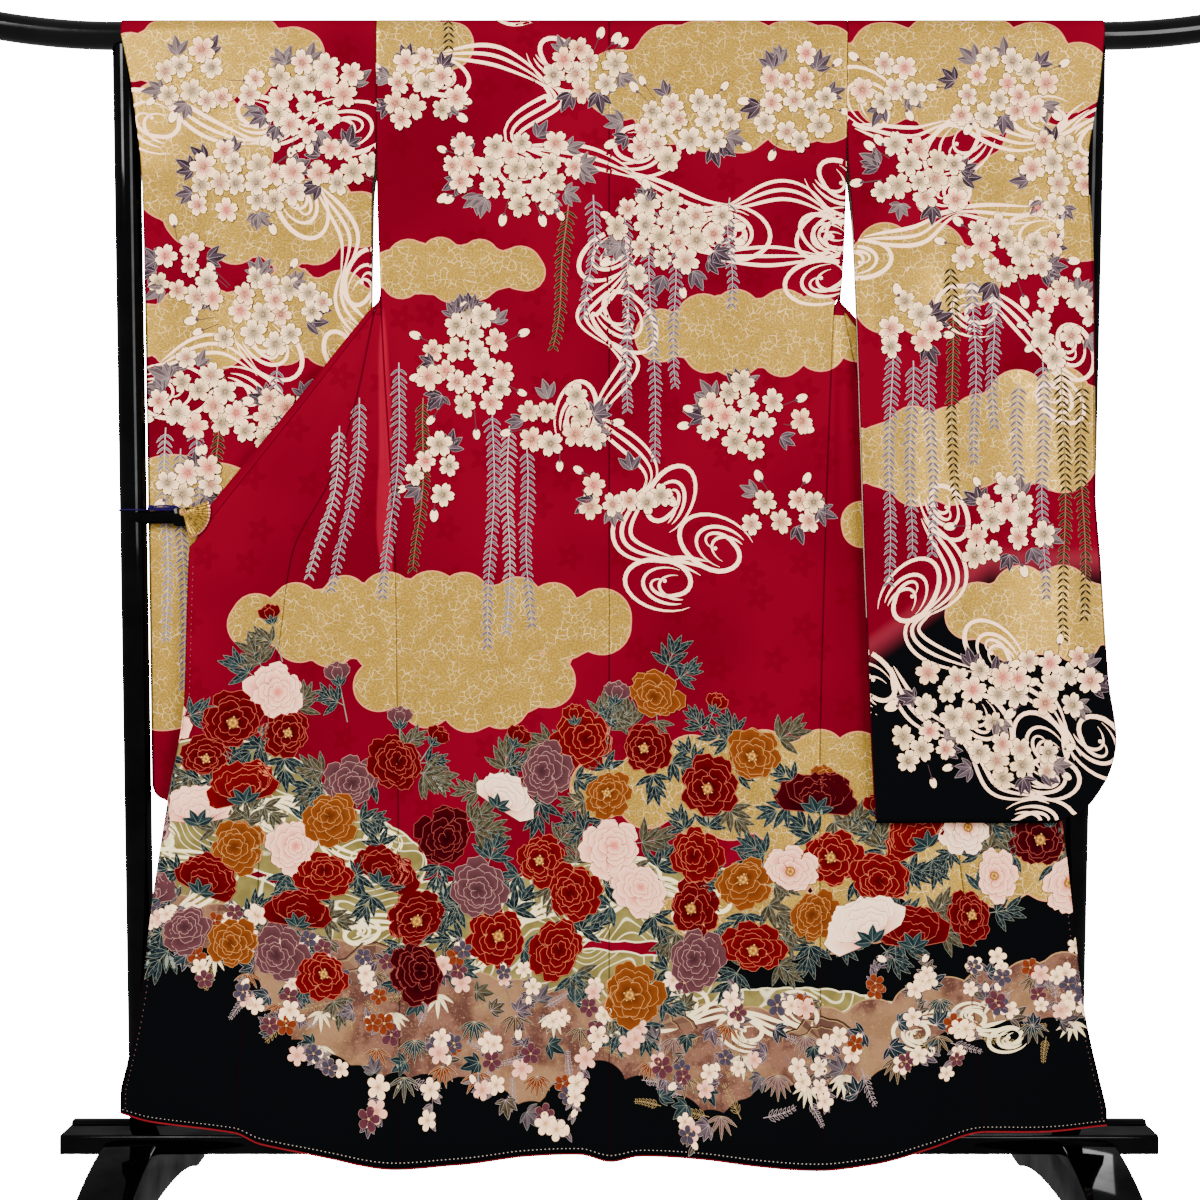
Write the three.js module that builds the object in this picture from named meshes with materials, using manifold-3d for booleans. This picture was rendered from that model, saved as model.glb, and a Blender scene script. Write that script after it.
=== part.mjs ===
// A furisode hung over the rail of a lacquered kimono stand, seen from its back, with both fronts held open.
// Millimetres, +Z up, the floor at Z = 0, the back of the garment facing -Y. Left and right are as seen from -Y.
// "drop" is the distance below the rail's axis. Cloth is described by its middle surface and then given its thickness.
import * as THREE from "three";
import Module from "manifold-3d";
import { mergeVertices } from "three/addons/utils/BufferGeometryUtils.js";

const wasm = await Module();
wasm.setup();

// ---- driving sizes ----
const WALL = 1.4; // silk and its lining, as one wall
const SEAM = 0.4; // gap between two pieces that are sewn together
const FIT = 0.35; // clearance of hard pieces
const RAIL = { radius: 20, height: 1678, straight: 700, reach: 950, bend: 1030 };
const ROUND = RAIL.radius + 0.6 + WALL / 2; // radius of the cloth's middle where it rounds the rail
const POST = { radius: 19, top: 691, footLeft: 666, footRight: 656 };
const BEAM = { half: 775, depth: 84, top: 116, height: 27, ridge: 5 };
const LEG = { centre: 672, width: 76, reach: 300 };
const ARM = { radius: 9, drop: 689, y: -12, end: 612 };
const FAN = { x: 604, drop: 682, radius: 39, thick: 2.5, ribs: 9 };
const PINCH = { length: 42, height: 26, bite: 2, past: 8 }; // the jaw, how deep it meets the rod and how far it passes its end

// The back hangs straight and swings out over the base beam: Y of its plane at a drop.
const PLANE = { slope: 0.003, swingFrom: 1032, swingOver: 540, swing: 26 };
const WAVE = { height: 3.5, fullAt: 1200, length: 190, phase: 0.6 };
const HEM = { mean: 1572, shapedFrom: 1312 };
const COLLAR = { width: 14, start: 6, corner: { x: 325.2, drop: 377 }, end: { x: 594.6, drop: 708 } };
const NECK = { behind: 35, shoulder: 86 }; // the neck seam: degrees past the rail's top at the centre, half its width
const SLEEVE = { wrist: 232, fold: 4, wave: 2, waveLength: 150 };
const LINING = { wall: 1.0, gap: 0.5, tall: 22, below: 2.5 };

// Edges of the panels: x at each drop.
const BACK_EDGE = {
  left: [
    { drop: 0, x: 331 }, { drop: 187, x: 330 }, { drop: 381, x: 323.8 },
    { drop: 750, x: 304 }, { drop: 1090, x: 299.5 }, { drop: 1606, x: 294 },
  ],
  right: [
    { drop: 0, x: 339 }, { drop: 187, x: 337 }, { drop: 342, x: 331.5 }, { drop: 366, x: 329 },
    { drop: 388, x: 320 }, { drop: 480, x: 315 }, { drop: 750, x: 306 }, { drop: 1090, x: 299 }, { drop: 1606, x: 299 },
  ],
};
const OKUMI_SEAM = {
  left: [
    { drop: 398, x: 333.4 }, { drop: 432, x: 340 }, { drop: 523, x: 359 }, { drop: 622, x: 389 },
    { drop: 746, x: 451 }, { drop: 859, x: 467 }, { drop: 1034, x: 492 }, { drop: 1232, x: 498 },
    { drop: 1344, x: 504 }, { drop: 1414, x: 517 }, { drop: 1554, x: 526 },
  ],
  right: [
    { drop: 398, x: 333.4 }, { drop: 432, x: 340 }, { drop: 523, x: 361 }, { drop: 622, x: 391 },
    { drop: 746, x: 452 }, { drop: 859, x: 468 }, { drop: 1034, x: 487 }, { drop: 1133, x: 493 },
    { drop: 1274, x: 508 }, { drop: 1372, x: 514 }, { drop: 1552, x: 528 },
  ],
};
const OKUMI_EDGE = {
  left: [
    { drop: 719, x: 582 }, { drop: 732, x: 595.5 }, { drop: 807, x: 599 }, { drop: 949, x: 603 },
    { drop: 1090, x: 626.5 }, { drop: 1232, x: 647.5 }, { drop: 1372, x: 663 }, { drop: 1527, x: 688 },
  ],
  right: [
    { drop: 719, x: 582 }, { drop: 732, x: 595.5 }, { drop: 807, x: 600 }, { drop: 949, x: 606 },
    { drop: 1114, x: 641 }, { drop: 1274, x: 659 }, { drop: 1372, x: 669.5 }, { drop: 1545, x: 701 },
  ],
};
// The hem, from the left corner to the right one.
const HEM_LINE = [
  { x: -688, drop: 1527 }, { x: -646, drop: 1540 }, { x: -526, drop: 1554 }, { x: -491, drop: 1570 },
  { x: -393, drop: 1590 }, { x: -294, drop: 1606 }, { x: -210, drop: 1599 }, { x: -118, drop: 1587 },
  { x: -41, drop: 1585 }, { x: 1, drop: 1594 }, { x: 43, drop: 1586 }, { x: 128, drop: 1592 },
  { x: 212, drop: 1601 }, { x: 299, drop: 1608 }, { x: 367, drop: 1599 }, { x: 451, drop: 1576 },
  { x: 528, drop: 1554 }, { x: 620, drop: 1552 }, { x: 701, drop: 1545 },
];
// The front panel behind the rail: its armhole edge (side) and its collar edge (neck) draw together at the underarm
// and cross there, because the front is turned out round the side seam.
const FRONT_TURN = {
  left: [
    { sideDrop: 0, sideX: 331, sideY: 21.3, neckDrop: 0, neckX: 86, neckY: 21.3 },
    { sideDrop: 82, sideX: 331, sideY: 20.5, neckDrop: 87, neckX: 132, neckY: 21.5 },
    { sideDrop: 172, sideX: 330.5, sideY: 17, neckDrop: 177, neckX: 196, neckY: 21 },
    { sideDrop: 252, sideX: 329.5, sideY: 9, neckDrop: 262, neckX: 255, neckY: 18 },
    { sideDrop: 312, sideX: 328, sideY: -3, neckDrop: 322, neckX: 296, neckY: 13 },
    { sideDrop: 347, sideX: 326, sideY: -13, neckDrop: 357, neckX: 318, neckY: 7 },
    { sideDrop: 370, sideX: 324.4, sideY: -20, neckDrop: 379, neckX: 328, neckY: -4 },
    { sideDrop: 390, sideX: 324.2, sideY: -22.3, neckDrop: 398, neckX: 333.4, neckY: -21 },
  ],
  right: [
    { sideDrop: 0, sideX: 339, sideY: 21.3, neckDrop: 0, neckX: 86, neckY: 21.3 },
    { sideDrop: 82, sideX: 338, sideY: 20.5, neckDrop: 87, neckX: 132, neckY: 21.5 },
    { sideDrop: 172, sideX: 337, sideY: 17, neckDrop: 177, neckX: 196, neckY: 21 },
    { sideDrop: 252, sideX: 335, sideY: 9, neckDrop: 262, neckX: 255, neckY: 18 },
    { sideDrop: 312, sideX: 333, sideY: -3, neckDrop: 322, neckX: 296, neckY: 13 },
    { sideDrop: 347, sideX: 331, sideY: -13, neckDrop: 357, neckX: 318, neckY: 7 },
    { sideDrop: 370, sideX: 329, sideY: -20, neckDrop: 379, neckX: 328, neckY: -4 },
    { sideDrop: 390, sideX: 320.6, sideY: -22.3, neckDrop: 398, neckX: 333.4, neckY: -21 },
  ],
};
// The collar behind the rail: its sewn edge follows the neck, and this is its free edge.
const COLLAR_FREE = [
  { x: 0, drop: 35, y: 22 }, { x: 18, drop: 35, y: 22 }, { x: 30, drop: 36, y: 22 }, { x: 38, drop: 38, y: 22 },
  { x: 45, drop: 43, y: 22 }, { x: 92, drop: 115, y: 23 }, { x: 158, drop: 202, y: 23 }, { x: 224, drop: 282, y: 22.5 },
  { x: 276, drop: 334, y: 21 }, { x: 307, drop: 360, y: 17.5 }, { x: 323.5, drop: 371, y: 9 },
];
// The sleeves: x of the inner and outer edge, and y of both layers at each edge. "back" is the layer behind the rail.
const SLEEVE_ROWS = {
  left: [
    { drop: 0, inner: 331.8, outer: 694, backOuter: 694, frontIn: -21.3, frontOut: -21.3, backIn: 21.3, backOut: 21.3 },
    { drop: 68, inner: 332.2, outer: 680, backOuter: 680, frontIn: -21.3, frontOut: -21.3, backIn: 20, backOut: 21.3 },
    { drop: 132, inner: 332.6, outer: 671, backOuter: 671, frontIn: -21.5, frontOut: -21.3, backIn: 18.5, backOut: 21 },
    { drop: 187, inner: 333, outer: 662, backOuter: 662, frontIn: -21.6, frontOut: -20.8, backIn: 17, backOut: 19 },
    { drop: 232, inner: 337, outer: 653, backOuter: 653, frontIn: -17, frontOut: -14, backIn: 15, backOut: 14 },
    { drop: 330, inner: 339, outer: 652.5, backOuter: 652.5, frontIn: -5, frontOut: -3, backIn: 15, backOut: 15 },
    { drop: 440, inner: 340, outer: 652, backOuter: 652, frontIn: 2, frontOut: 3, backIn: 15, backOut: 15 },
    { drop: 560, inner: 340, outer: 651, backOuter: 651, frontIn: 3, frontOut: 3.4, backIn: 15, backOut: 15 },
    { drop: 700, inner: 341, outer: 650, backOuter: 650, frontIn: 3, frontOut: 3.4, backIn: 15, backOut: 15 },
    { drop: 840, inner: 341, outer: 649, backOuter: 649, frontIn: 3, frontOut: 3.4, backIn: 15, backOut: 15 },
    { drop: 980, inner: 342, outer: 648, backOuter: 648, frontIn: 3, frontOut: 3.4, backIn: 15, backOut: 15 },
    { drop: 1070, inner: 342, outer: 648, backOuter: 648, frontIn: 3, frontOut: 3.4, backIn: 15, backOut: 15 },
    { drop: 1085, inner: 342, outer: 643, backOuter: 643, frontIn: 3, frontOut: 3.4, backIn: 15, backOut: 15 },
    { drop: 1098, inner: 342, outer: 620, backOuter: 620, frontIn: 3, frontOut: 3.4, backIn: 15, backOut: 15 },
  ],
  right: [
    { drop: 0, inner: 339.8, outer: 704, backOuter: 704, frontIn: -21.3, frontOut: -21.3, backIn: 21.3, backOut: 21.3 },
    { drop: 42, inner: 339.8, outer: 700, backOuter: 692, frontIn: -21.3, frontOut: -21.5, backIn: 20.5, backOut: 21.3 },
    { drop: 92, inner: 339.8, outer: 694, backOuter: 662, frontIn: -21.5, frontOut: -22.5, backIn: 19.5, backOut: 15 },
    { drop: 132, inner: 339.8, outer: 686, backOuter: 654, frontIn: -21.6, frontOut: -24, backIn: 18.5, backOut: 0 },
    { drop: 187, inner: 340, outer: 678, backOuter: 661, frontIn: -21.8, frontOut: -29, backIn: 16, backOut: -21 },
    { drop: 232, inner: 343, outer: 677, backOuter: 677, frontIn: -25, frontOut: -34, backIn: 4, backOut: -28 },
    { drop: 290, inner: 346, outer: 680, backOuter: 680, frontIn: -31, frontOut: -38, backIn: -16, backOut: -30 },
    { drop: 340, inner: 347, outer: 681, backOuter: 681, frontIn: -38, frontOut: -42, backIn: -28, backOut: -31 },
    { drop: 432, inner: 350, outer: 682, backOuter: 682, frontIn: -43, frontOut: -43, backIn: -32, backOut: -32 },
    { drop: 652, inner: 357, outer: 683, backOuter: 683, frontIn: -44.5, frontOut: -44.5, backIn: -33, backOut: -33 },
    { drop: 750, inner: 360, outer: 690, backOuter: 690, frontIn: -44.5, frontOut: -44.5, backIn: -33, backOut: -33 },
    { drop: 920, inner: 367, outer: 701, backOuter: 701, frontIn: -45.5, frontOut: -45.5, backIn: -34, backOut: -34 },
    { drop: 1005, inner: 370, outer: 712, backOuter: 712, frontIn: -45.5, frontOut: -45.5, backIn: -34, backOut: -34 },
    { drop: 1040, inner: 372, outer: 706, backOuter: 706, frontIn: -45.5, frontOut: -45.5, backIn: -34, backOut: -34 },
    { drop: 1080, inner: 374, outer: 686, backOuter: 686, frontIn: -45.5, frontOut: -45.5, backIn: -34, backOut: -34 },
    { drop: 1106, inner: 376, outer: 662, backOuter: 662, frontIn: -45.5, frontOut: -45.5, backIn: -34, backOut: -34 },
    { drop: 1117, inner: 376, outer: 630, backOuter: 630, frontIn: -45.5, frontOut: -45.5, backIn: -34, backOut: -34 },
  ],
};

// Drops of the rows that each panel is built from, below the rail.
const BACK_ROWS = [1572, 1500, 1400, 1290, 1160, 1030, 900, 770, 640, 520, 440, 388, 350, 280, 187, 90, 0];
const DOOR_ROWS = [436, 480, 523, 570, 622, 670, 719, 733, 790, 870, 949, 1060, 1160, 1260, 1344, 1420, 1500, 1572];

const lerp = (a, b, t) => a + (b - a) * t;
const clamp01 = (t) => Math.min(1, Math.max(0, t));
const level = (drop) => RAIL.height - drop;
const sideOf = (name) => (name === "left" ? -1 : 1);

// A column of a table at any value of its key column, on a smooth curve with no overshoot.
function along(table, key, column, at) {
  const last = table.length - 1;
  if (at <= table[0][key]) return table[0][column];
  if (at >= table[last][key]) return table[last][column];
  let i = 0;
  while (table[i + 1][key] < at) i += 1;
  const slope = (j) => (table[j + 1][column] - table[j][column]) / (table[j + 1][key] - table[j][key]);
  const tangent = (j) => {
    if (j === 0) return slope(0);
    if (j === last) return slope(last - 1);
    const before = slope(j - 1);
    const after = slope(j);
    return before * after <= 0 ? 0 : (2 * before * after) / (before + after);
  };
  const span = table[i + 1][key] - table[i][key];
  const t = (at - table[i][key]) / span;
  return (
    (2 * t ** 3 - 3 * t ** 2 + 1) * table[i][column] + (t ** 3 - 2 * t ** 2 + t) * span * tangent(i) +
    (3 * t ** 2 - 2 * t ** 3) * table[i + 1][column] + (t ** 3 - t ** 2) * span * tangent(i + 1)
  );
}

// The plane that the back and the opened fronts hang in, with soft upright waves.
function planeY(x, drop) {
  const swing = clamp01((drop - PLANE.swingFrom) / PLANE.swingOver) ** 2 * PLANE.swing;
  const wave = WAVE.height * clamp01(drop / WAVE.fullAt) * Math.sin((2 * Math.PI * x) / WAVE.length + WAVE.phase);
  return -ROUND - PLANE.slope * drop - swing - wave;
}

// A point on that plane. Near the hem the rows bend to the hem's line.
function planePoint(x, drop, behind = 0) {
  const share = clamp01((drop - HEM.shapedFrom) / (HEM.mean - HEM.shapedFrom)) ** 2;
  const low = drop + (along(HEM_LINE, "x", "drop", x) - HEM.mean) * share;
  return new THREE.Vector3(x, planeY(x, low) + behind, level(low));
}

// Round the rail: degrees from the top, negative towards -Y.
function railPoint(x, degrees, radius = ROUND) {
  const turn = THREE.MathUtils.degToRad(degrees);
  return new THREE.Vector3(x, radius * Math.sin(turn), RAIL.height + radius * Math.cos(turn));
}

// ---- from a middle surface to a wall ----
function gridFaces(rows, columns) {
  const faces = [];
  for (let r = 0; r < rows - 1; r += 1) {
    for (let c = 0; c < columns - 1; c += 1) {
      const a = r * columns + c;
      faces.push([a, a + 1, a + columns + 1], [a, a + columns + 1, a + columns]);
    }
  }
  return faces;
}

function closedGeometry(points, faces) {
  let volume = 0;
  for (const [a, b, c] of faces) volume += points[a].dot(points[b].clone().cross(points[c]));
  const geometry = new THREE.BufferGeometry();
  geometry.setAttribute("position", new THREE.Float32BufferAttribute(points.flatMap((p) => [p.x, p.y, p.z]), 3));
  geometry.setIndex(faces.flatMap(([a, b, c]) => (volume > 0 ? [a, b, c] : [a, c, b])));
  geometry.computeVertexNormals();
  return geometry;
}

function thicken(points, faces, wall) {
  const normals = points.map(() => new THREE.Vector3());
  const directed = new Set();
  for (const [a, b, c] of faces) {
    const normal = points[b].clone().sub(points[a]).cross(points[c].clone().sub(points[a]));
    for (const i of [a, b, c]) normals[i].add(normal);
    directed.add(`${a},${b}`).add(`${b},${c}`).add(`${c},${a}`);
  }
  normals.forEach((normal) => normal.normalize().multiplyScalar(wall / 2));
  const count = points.length;
  const both = [...points.map((p, i) => p.clone().add(normals[i])), ...points.map((p, i) => p.clone().sub(normals[i]))];
  const shell = [...faces, ...faces.map(([a, b, c]) => [a + count, c + count, b + count])];
  for (const edge of directed) {
    const [a, b] = edge.split(",").map(Number);
    if (!directed.has(`${b},${a}`)) shell.push([b, a, a + count], [b, a + count, b + count]);
  }
  return closedGeometry(both, shell);
}

const sheet = (rows, wall = WALL) => thicken(rows.flat(), gridFaces(rows.length, rows[0].length), wall);

// A row of points between two points, straight across.
const across = (from, to, steps) =>
  Array.from({ length: steps + 1 }, (_, i) => from.clone().lerp(to, i / steps));

// A row of the hanging plane between two edges.
const planeRow = (fromX, toX, drop, steps, behind = 0) =>
  Array.from({ length: steps + 1 }, (_, i) => planePoint(lerp(fromX, toX, i / steps), drop, behind));

// ---- the garment ----
const BODY_STEPS = 6;
const OKUMI_STEPS = 3;
const SLEEVE_STEPS = 7;
const NECK_TURNS = [0, 0.25, 0.5, 0.75, 1];

const neckDegrees = (turn) => lerp(NECK.behind, 90, turn);
const neckX = (turn) => NECK.shoulder * Math.sqrt(turn);

// The rows of one body panel: back hem, up the back, over the rail, down behind it, out at the underarm and down to the front hem.
function bodyRows(side) {
  const sign = sideOf(side);
  const edge = (drop) => sign * along(BACK_EDGE[side], "drop", "x", drop);
  const rows = BACK_ROWS.map((drop) => planeRow((sign * SEAM) / 2, edge(drop), drop, BODY_STEPS));
  const shoulder = edge(0);
  for (const degrees of [-72, -54, -36, -18, 0, 18]) {
    rows.push(across(railPoint((sign * SEAM) / 2, degrees), railPoint(shoulder, degrees), BODY_STEPS));
  }
  for (const turn of NECK_TURNS) {
    const neck = sign * Math.max(SEAM / 2, neckX(turn));
    rows.push(across(railPoint(neck, neckDegrees(turn)), railPoint(shoulder, neckDegrees(turn)), BODY_STEPS));
  }
  for (const row of FRONT_TURN[side].slice(1)) {
    rows.push(across(
      new THREE.Vector3(sign * row.neckX, row.neckY, level(row.neckDrop)),
      new THREE.Vector3(sign * row.sideX, row.sideY, level(row.sideDrop)),
      BODY_STEPS,
    ));
  }
  for (const drop of DOOR_ROWS) {
    const seam = sign * along(OKUMI_SEAM[side], "drop", "x", drop);
    rows.push(planeRow(seam, edge(drop) + sign * SEAM, drop, BODY_STEPS));
  }
  return rows;
}

// The collar's sewn edge on the opened front, from the underarm to the clip, and its visible width there.
function collarLine(share) {
  const run = { x: COLLAR.end.x - COLLAR.corner.x, drop: COLLAR.end.drop - COLLAR.corner.drop };
  const length = Math.hypot(run.x, run.drop);
  const width = lerp(COLLAR.start, COLLAR.width, share);
  const free = { x: COLLAR.corner.x + run.x * share, drop: COLLAR.corner.drop + run.drop * share };
  return { free, sewn: { x: free.x - (width * run.drop) / length, drop: free.drop + (width * run.x) / length } };
}

// x of the okumi's outer edge: the collar seam as far as the clip, then its own free edge.
function okumiOuter(side, drop) {
  const steps = 40;
  for (let i = 0; i < steps; i += 1) {
    const from = collarLine(i / steps).sewn;
    const to = collarLine((i + 1) / steps).sewn;
    if (drop >= from.drop && drop < to.drop) {
      return lerp(from.x, to.x, (drop - from.drop) / (to.drop - from.drop)) - 2 * SEAM;
    }
  }
  return along(OKUMI_EDGE[side], "drop", "x", drop);
}

function okumiRows(side) {
  const sign = sideOf(side);
  return DOOR_ROWS.map((drop) => {
    const seam = along(OKUMI_SEAM[side], "drop", "x", drop) + SEAM;
    return planeRow(sign * seam, sign * okumiOuter(side, drop), drop, OKUMI_STEPS);
  });
}

// One sleeve: a strip folded over the rail, its outer edge sewn below the wrist opening and its foot sewn across.
function sleeve(side) {
  const sign = sideOf(side);
  const table = SLEEVE_ROWS[side];
  const swell = (x, drop) => SLEEVE.wave * clamp01(drop / 500) * Math.sin((2 * Math.PI * x) / SLEEVE.waveLength);
  const layer = (row, outer, yIn, yOut) =>
    Array.from({ length: SLEEVE_STEPS + 1 }, (_, i) => {
      const share = i / SLEEVE_STEPS;
      const x = sign * lerp(row.inner, outer, share);
      return new THREE.Vector3(x, lerp(yIn, yOut, share) + swell(x, row.drop), level(row.drop));
    });
  const front = table.map((row) => layer(row, row.outer, row.frontIn, row.frontOut)).reverse();
  const back = table.map((row) => layer(row, row.backOuter, row.backIn, row.backOut));
  const over = [-72, -54, -36, -18, 0, 18, 36, 54, 72].map((degrees) =>
    across(railPoint(sign * table[0].inner, degrees), railPoint(sign * table[0].outer, degrees), SLEEVE_STEPS));
  const rows = [...front, ...over, ...back];
  const points = rows.flat();
  const columns = SLEEVE_STEPS + 1;
  const faces = gridFaces(rows.length, columns);
  const at = (r, c) => r * columns + c;
  const last = rows.length - 1;
  const quad = (a, b, c, d) => faces.push([a, b, c], [a, c, d]);
  // the folded outer edge, from the foot up to the wrist opening
  const sewn = table.filter((row) => row.drop >= SLEEVE.wrist).length;
  const between = (a, b, x, z) => new THREE.Vector3(x, (a.y + b.y) / 2, z);
  const edge = [];
  for (let k = 0; k < sewn; k += 1) {
    const a = points[at(k, SLEEVE_STEPS)];
    const b = points[at(last - k, SLEEVE_STEPS)];
    const low = k === 0 ? SLEEVE.fold : 0;
    edge.push(points.push(between(a, b, a.x + sign * SLEEVE.fold * (k === 0 ? 0.5 : 1), a.z - low)) - 1);
  }
  for (let k = 0; k < sewn - 1; k += 1) {
    quad(at(k + 1, SLEEVE_STEPS), at(k, SLEEVE_STEPS), edge[k], edge[k + 1]);
    quad(at(last - k, SLEEVE_STEPS), at(last - k - 1, SLEEVE_STEPS), edge[k + 1], edge[k]);
  }
  // the foot
  const foot = Array.from({ length: SLEEVE_STEPS }, (_, c) => {
    const a = points[at(0, c)];
    return points.push(between(a, points[at(last, c)], a.x, a.z - SLEEVE.fold)) - 1;
  });
  foot.push(edge[0]);
  for (let c = 0; c < SLEEVE_STEPS; c += 1) {
    quad(at(0, c + 1), at(0, c), foot[c], foot[c + 1]);
    quad(at(last, c), at(last, c + 1), foot[c + 1], foot[c]);
  }
  return thicken(points, faces, WALL);
}

// A length measured round the rail from its top, then straight down behind it.
function behindRail(x, length, y) {
  const quarter = (ROUND * Math.PI) / 2;
  const loose = ROUND + 2 * SEAM;
  if (length <= quarter) return railPoint(x, (length / quarter) * 90, loose);
  const down = length - quarter;
  return new THREE.Vector3(x, lerp(loose, y, clamp01(down / 20)), RAIL.height - down);
}

const COLLAR_STEPS = 6;

// Half of the collar, as rows from the centre of the neck to the clip.
function collarRows(side) {
  const sign = sideOf(side);
  const quarter = (ROUND * Math.PI) / 2;
  const rows = NECK_TURNS.map((turn, i) => {
    const free = COLLAR_FREE[i];
    const sewn = (quarter * neckDegrees(turn)) / 90 + 2 * SEAM;
    return Array.from({ length: COLLAR_STEPS + 1 }, (_, k) => {
      const share = k / COLLAR_STEPS;
      const x = lerp(neckX(turn), free.x, share);
      return behindRail(sign * x, lerp(sewn, quarter + free.drop, share), free.y);
    });
  });
  FRONT_TURN[side].slice(1, -1).forEach((row, i) => {
    const free = COLLAR_FREE[NECK_TURNS.length + i];
    const sewn = new THREE.Vector3(sign * row.neckX, row.neckY, level(row.neckDrop));
    const edge = new THREE.Vector3(sign * free.x, free.y, level(free.drop));
    sewn.add(edge.clone().sub(sewn).setLength(3 * SEAM));
    rows.push(across(sewn, edge, COLLAR_STEPS));
  });
  for (const share of [0.06, 0.12, 0.2, 0.3, 0.42, 0.56, 0.7, 0.85, 1]) {
    const { free, sewn } = collarLine(share);
    rows.push(across(
      planePoint(sign * sewn.x, sewn.drop),
      planePoint(sign * free.x, free.drop),
      COLLAR_STEPS,
    ));
  }
  return rows;
}

function collar() {
  const left = collarRows("left").reverse();
  const right = collarRows("right").slice(1);
  return sheet([...left, ...right]);
}

// The red lining's edge: a low strip close behind a panel's hem, a little longer than the panel.
function hemEdge(hem, above) {
  const behind = new THREE.Vector3(0, WALL / 2 + LINING.gap + LINING.wall / 2, 0);
  return sheet([-LINING.tall, 0, LINING.below].map((more) =>
    hem.map((point, i) => {
      const down = point.clone().sub(above[i]).normalize();
      return point.clone().addScaledVector(down, more).add(behind);
    })), LINING.wall);
}

// ---- the stand ----
// A closed tube through rings of the given radii, with flat ends. The rings are square to the path, or to "facing".
function tube(centres, radii, sides, facing = null) {
  const points = [];
  centres.forEach((centre, i) => {
    const before = centres[Math.max(0, i - 1)];
    const after = centres[Math.min(centres.length - 1, i + 1)];
    const ahead = facing ?? after.clone().sub(before).normalize();
    const helper = Math.abs(ahead.z) > 0.8 ? new THREE.Vector3(0, 1, 0) : new THREE.Vector3(0, 0, 1);
    const u = helper.clone().cross(ahead).normalize();
    const v = ahead.clone().cross(u);
    for (let k = 0; k < sides; k += 1) {
      const turn = (2 * Math.PI * k) / sides;
      points.push(centre.clone()
        .addScaledVector(u, radii[i] * Math.cos(turn))
        .addScaledVector(v, radii[i] * Math.sin(turn)));
    }
  });
  const faces = [];
  for (let i = 0; i < centres.length - 1; i += 1) {
    for (let k = 0; k < sides; k += 1) {
      const a = i * sides + k;
      const b = i * sides + ((k + 1) % sides);
      faces.push([a, b, b + sides], [a, b + sides, a + sides]);
    }
  }
  const end = (centres.length - 1) * sides;
  for (let k = 1; k < sides - 1; k += 1) faces.push([0, k + 1, k], [end, end + k, end + k + 1]);
  return closedGeometry(points, faces);
}

// The rail: straight between the posts, rising in an arc beyond them, with rounded ends.
function rail() {
  const rise = (x) => {
    const past = Math.max(0, Math.abs(x) - RAIL.straight);
    return RAIL.height + RAIL.bend - Math.sqrt(RAIL.bend ** 2 - past ** 2);
  };
  const half = [0, 300, RAIL.straight, 740, 785, 835, 885, 930];
  const round = [{ x: RAIL.reach - 9, r: 0.9 }, { x: RAIL.reach - 2, r: 0.6 }, { x: RAIL.reach, r: 0.3 }];
  const right = [...half.map((x) => ({ x, r: 1 })), ...round];
  const all = [...right.slice(1).reverse().map(({ x, r }) => ({ x: -x, r })), ...right];
  return tube(
    all.map(({ x }) => new THREE.Vector3(x, 0, rise(x))),
    all.map(({ r }) => r * RAIL.radius),
    20,
  );
}

function solid(geometry) {
  const bare = geometry.clone();
  bare.deleteAttribute("normal");
  bare.deleteAttribute("uv");
  const merged = mergeVertices(bare, 1e-4);
  return new wasm.Manifold(new wasm.Mesh({
    numProp: 3,
    vertProperties: new Float32Array(merged.attributes.position.array),
    triVerts: new Uint32Array(merged.index.array),
  }));
}

function geometryOf(manifold) {
  const mesh = manifold.getMesh();
  const geometry = new THREE.BufferGeometry();
  geometry.setAttribute("position", new THREE.Float32BufferAttribute(mesh.vertProperties, 3));
  geometry.setIndex(new THREE.BufferAttribute(mesh.triVerts, 1));
  geometry.computeVertexNormals();
  return geometry;
}

const postAt = (side, z) => {
  const foot = side === "left" ? POST.footLeft : POST.footRight;
  return sideOf(side) * lerp(foot, POST.top, (z - BEAM.top) / (RAIL.height - BEAM.top));
};

// A round post that leans a little inwards, its top hollowed to seat the rail.
function post(side) {
  const top = RAIL.height - 16;
  const centre = (z) => new THREE.Vector3(postAt(side, z), 0, z);
  const upright = new THREE.Vector3(0, 0, 1);
  const body = tube([centre(BEAM.top + FIT), centre(top)], [POST.radius, POST.radius], 24, upright);
  const seat = tube(
    [-60, 60].map((x) => new THREE.Vector3(postAt(side, top) + x, 0, RAIL.height)),
    [RAIL.radius + FIT, RAIL.radius + FIT],
    20,
  );
  return geometryOf(solid(body).subtract(solid(seat)));
}

// A profile in the Y-Z plane, extruded along X about a centre.
function alongX(shape, centre, width) {
  const geometry = new THREE.ExtrudeGeometry(shape, { depth: width, bevelEnabled: false, curveSegments: 10 });
  geometry.rotateX(Math.PI / 2);
  geometry.rotateZ(Math.PI / 2);
  geometry.translate(centre - width / 2, 0, 0);
  return geometry;
}

// The base beam: a flat board with its upper edges eased and a low ridge along its back.
function baseBeam() {
  const half = BEAM.depth / 2;
  const ease = 4;
  const low = BEAM.top - BEAM.height;
  const outline = [
    [-half, low], [half, low], [half, BEAM.top + BEAM.ridge], [half - 14, BEAM.top + BEAM.ridge],
    [half - 18, BEAM.top], [-half + ease, BEAM.top], [-half, BEAM.top - ease],
  ];
  return alongX(new THREE.Shape(outline.map(([y, z]) => new THREE.Vector2(y, z))), 0, 2 * BEAM.half);
}

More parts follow.
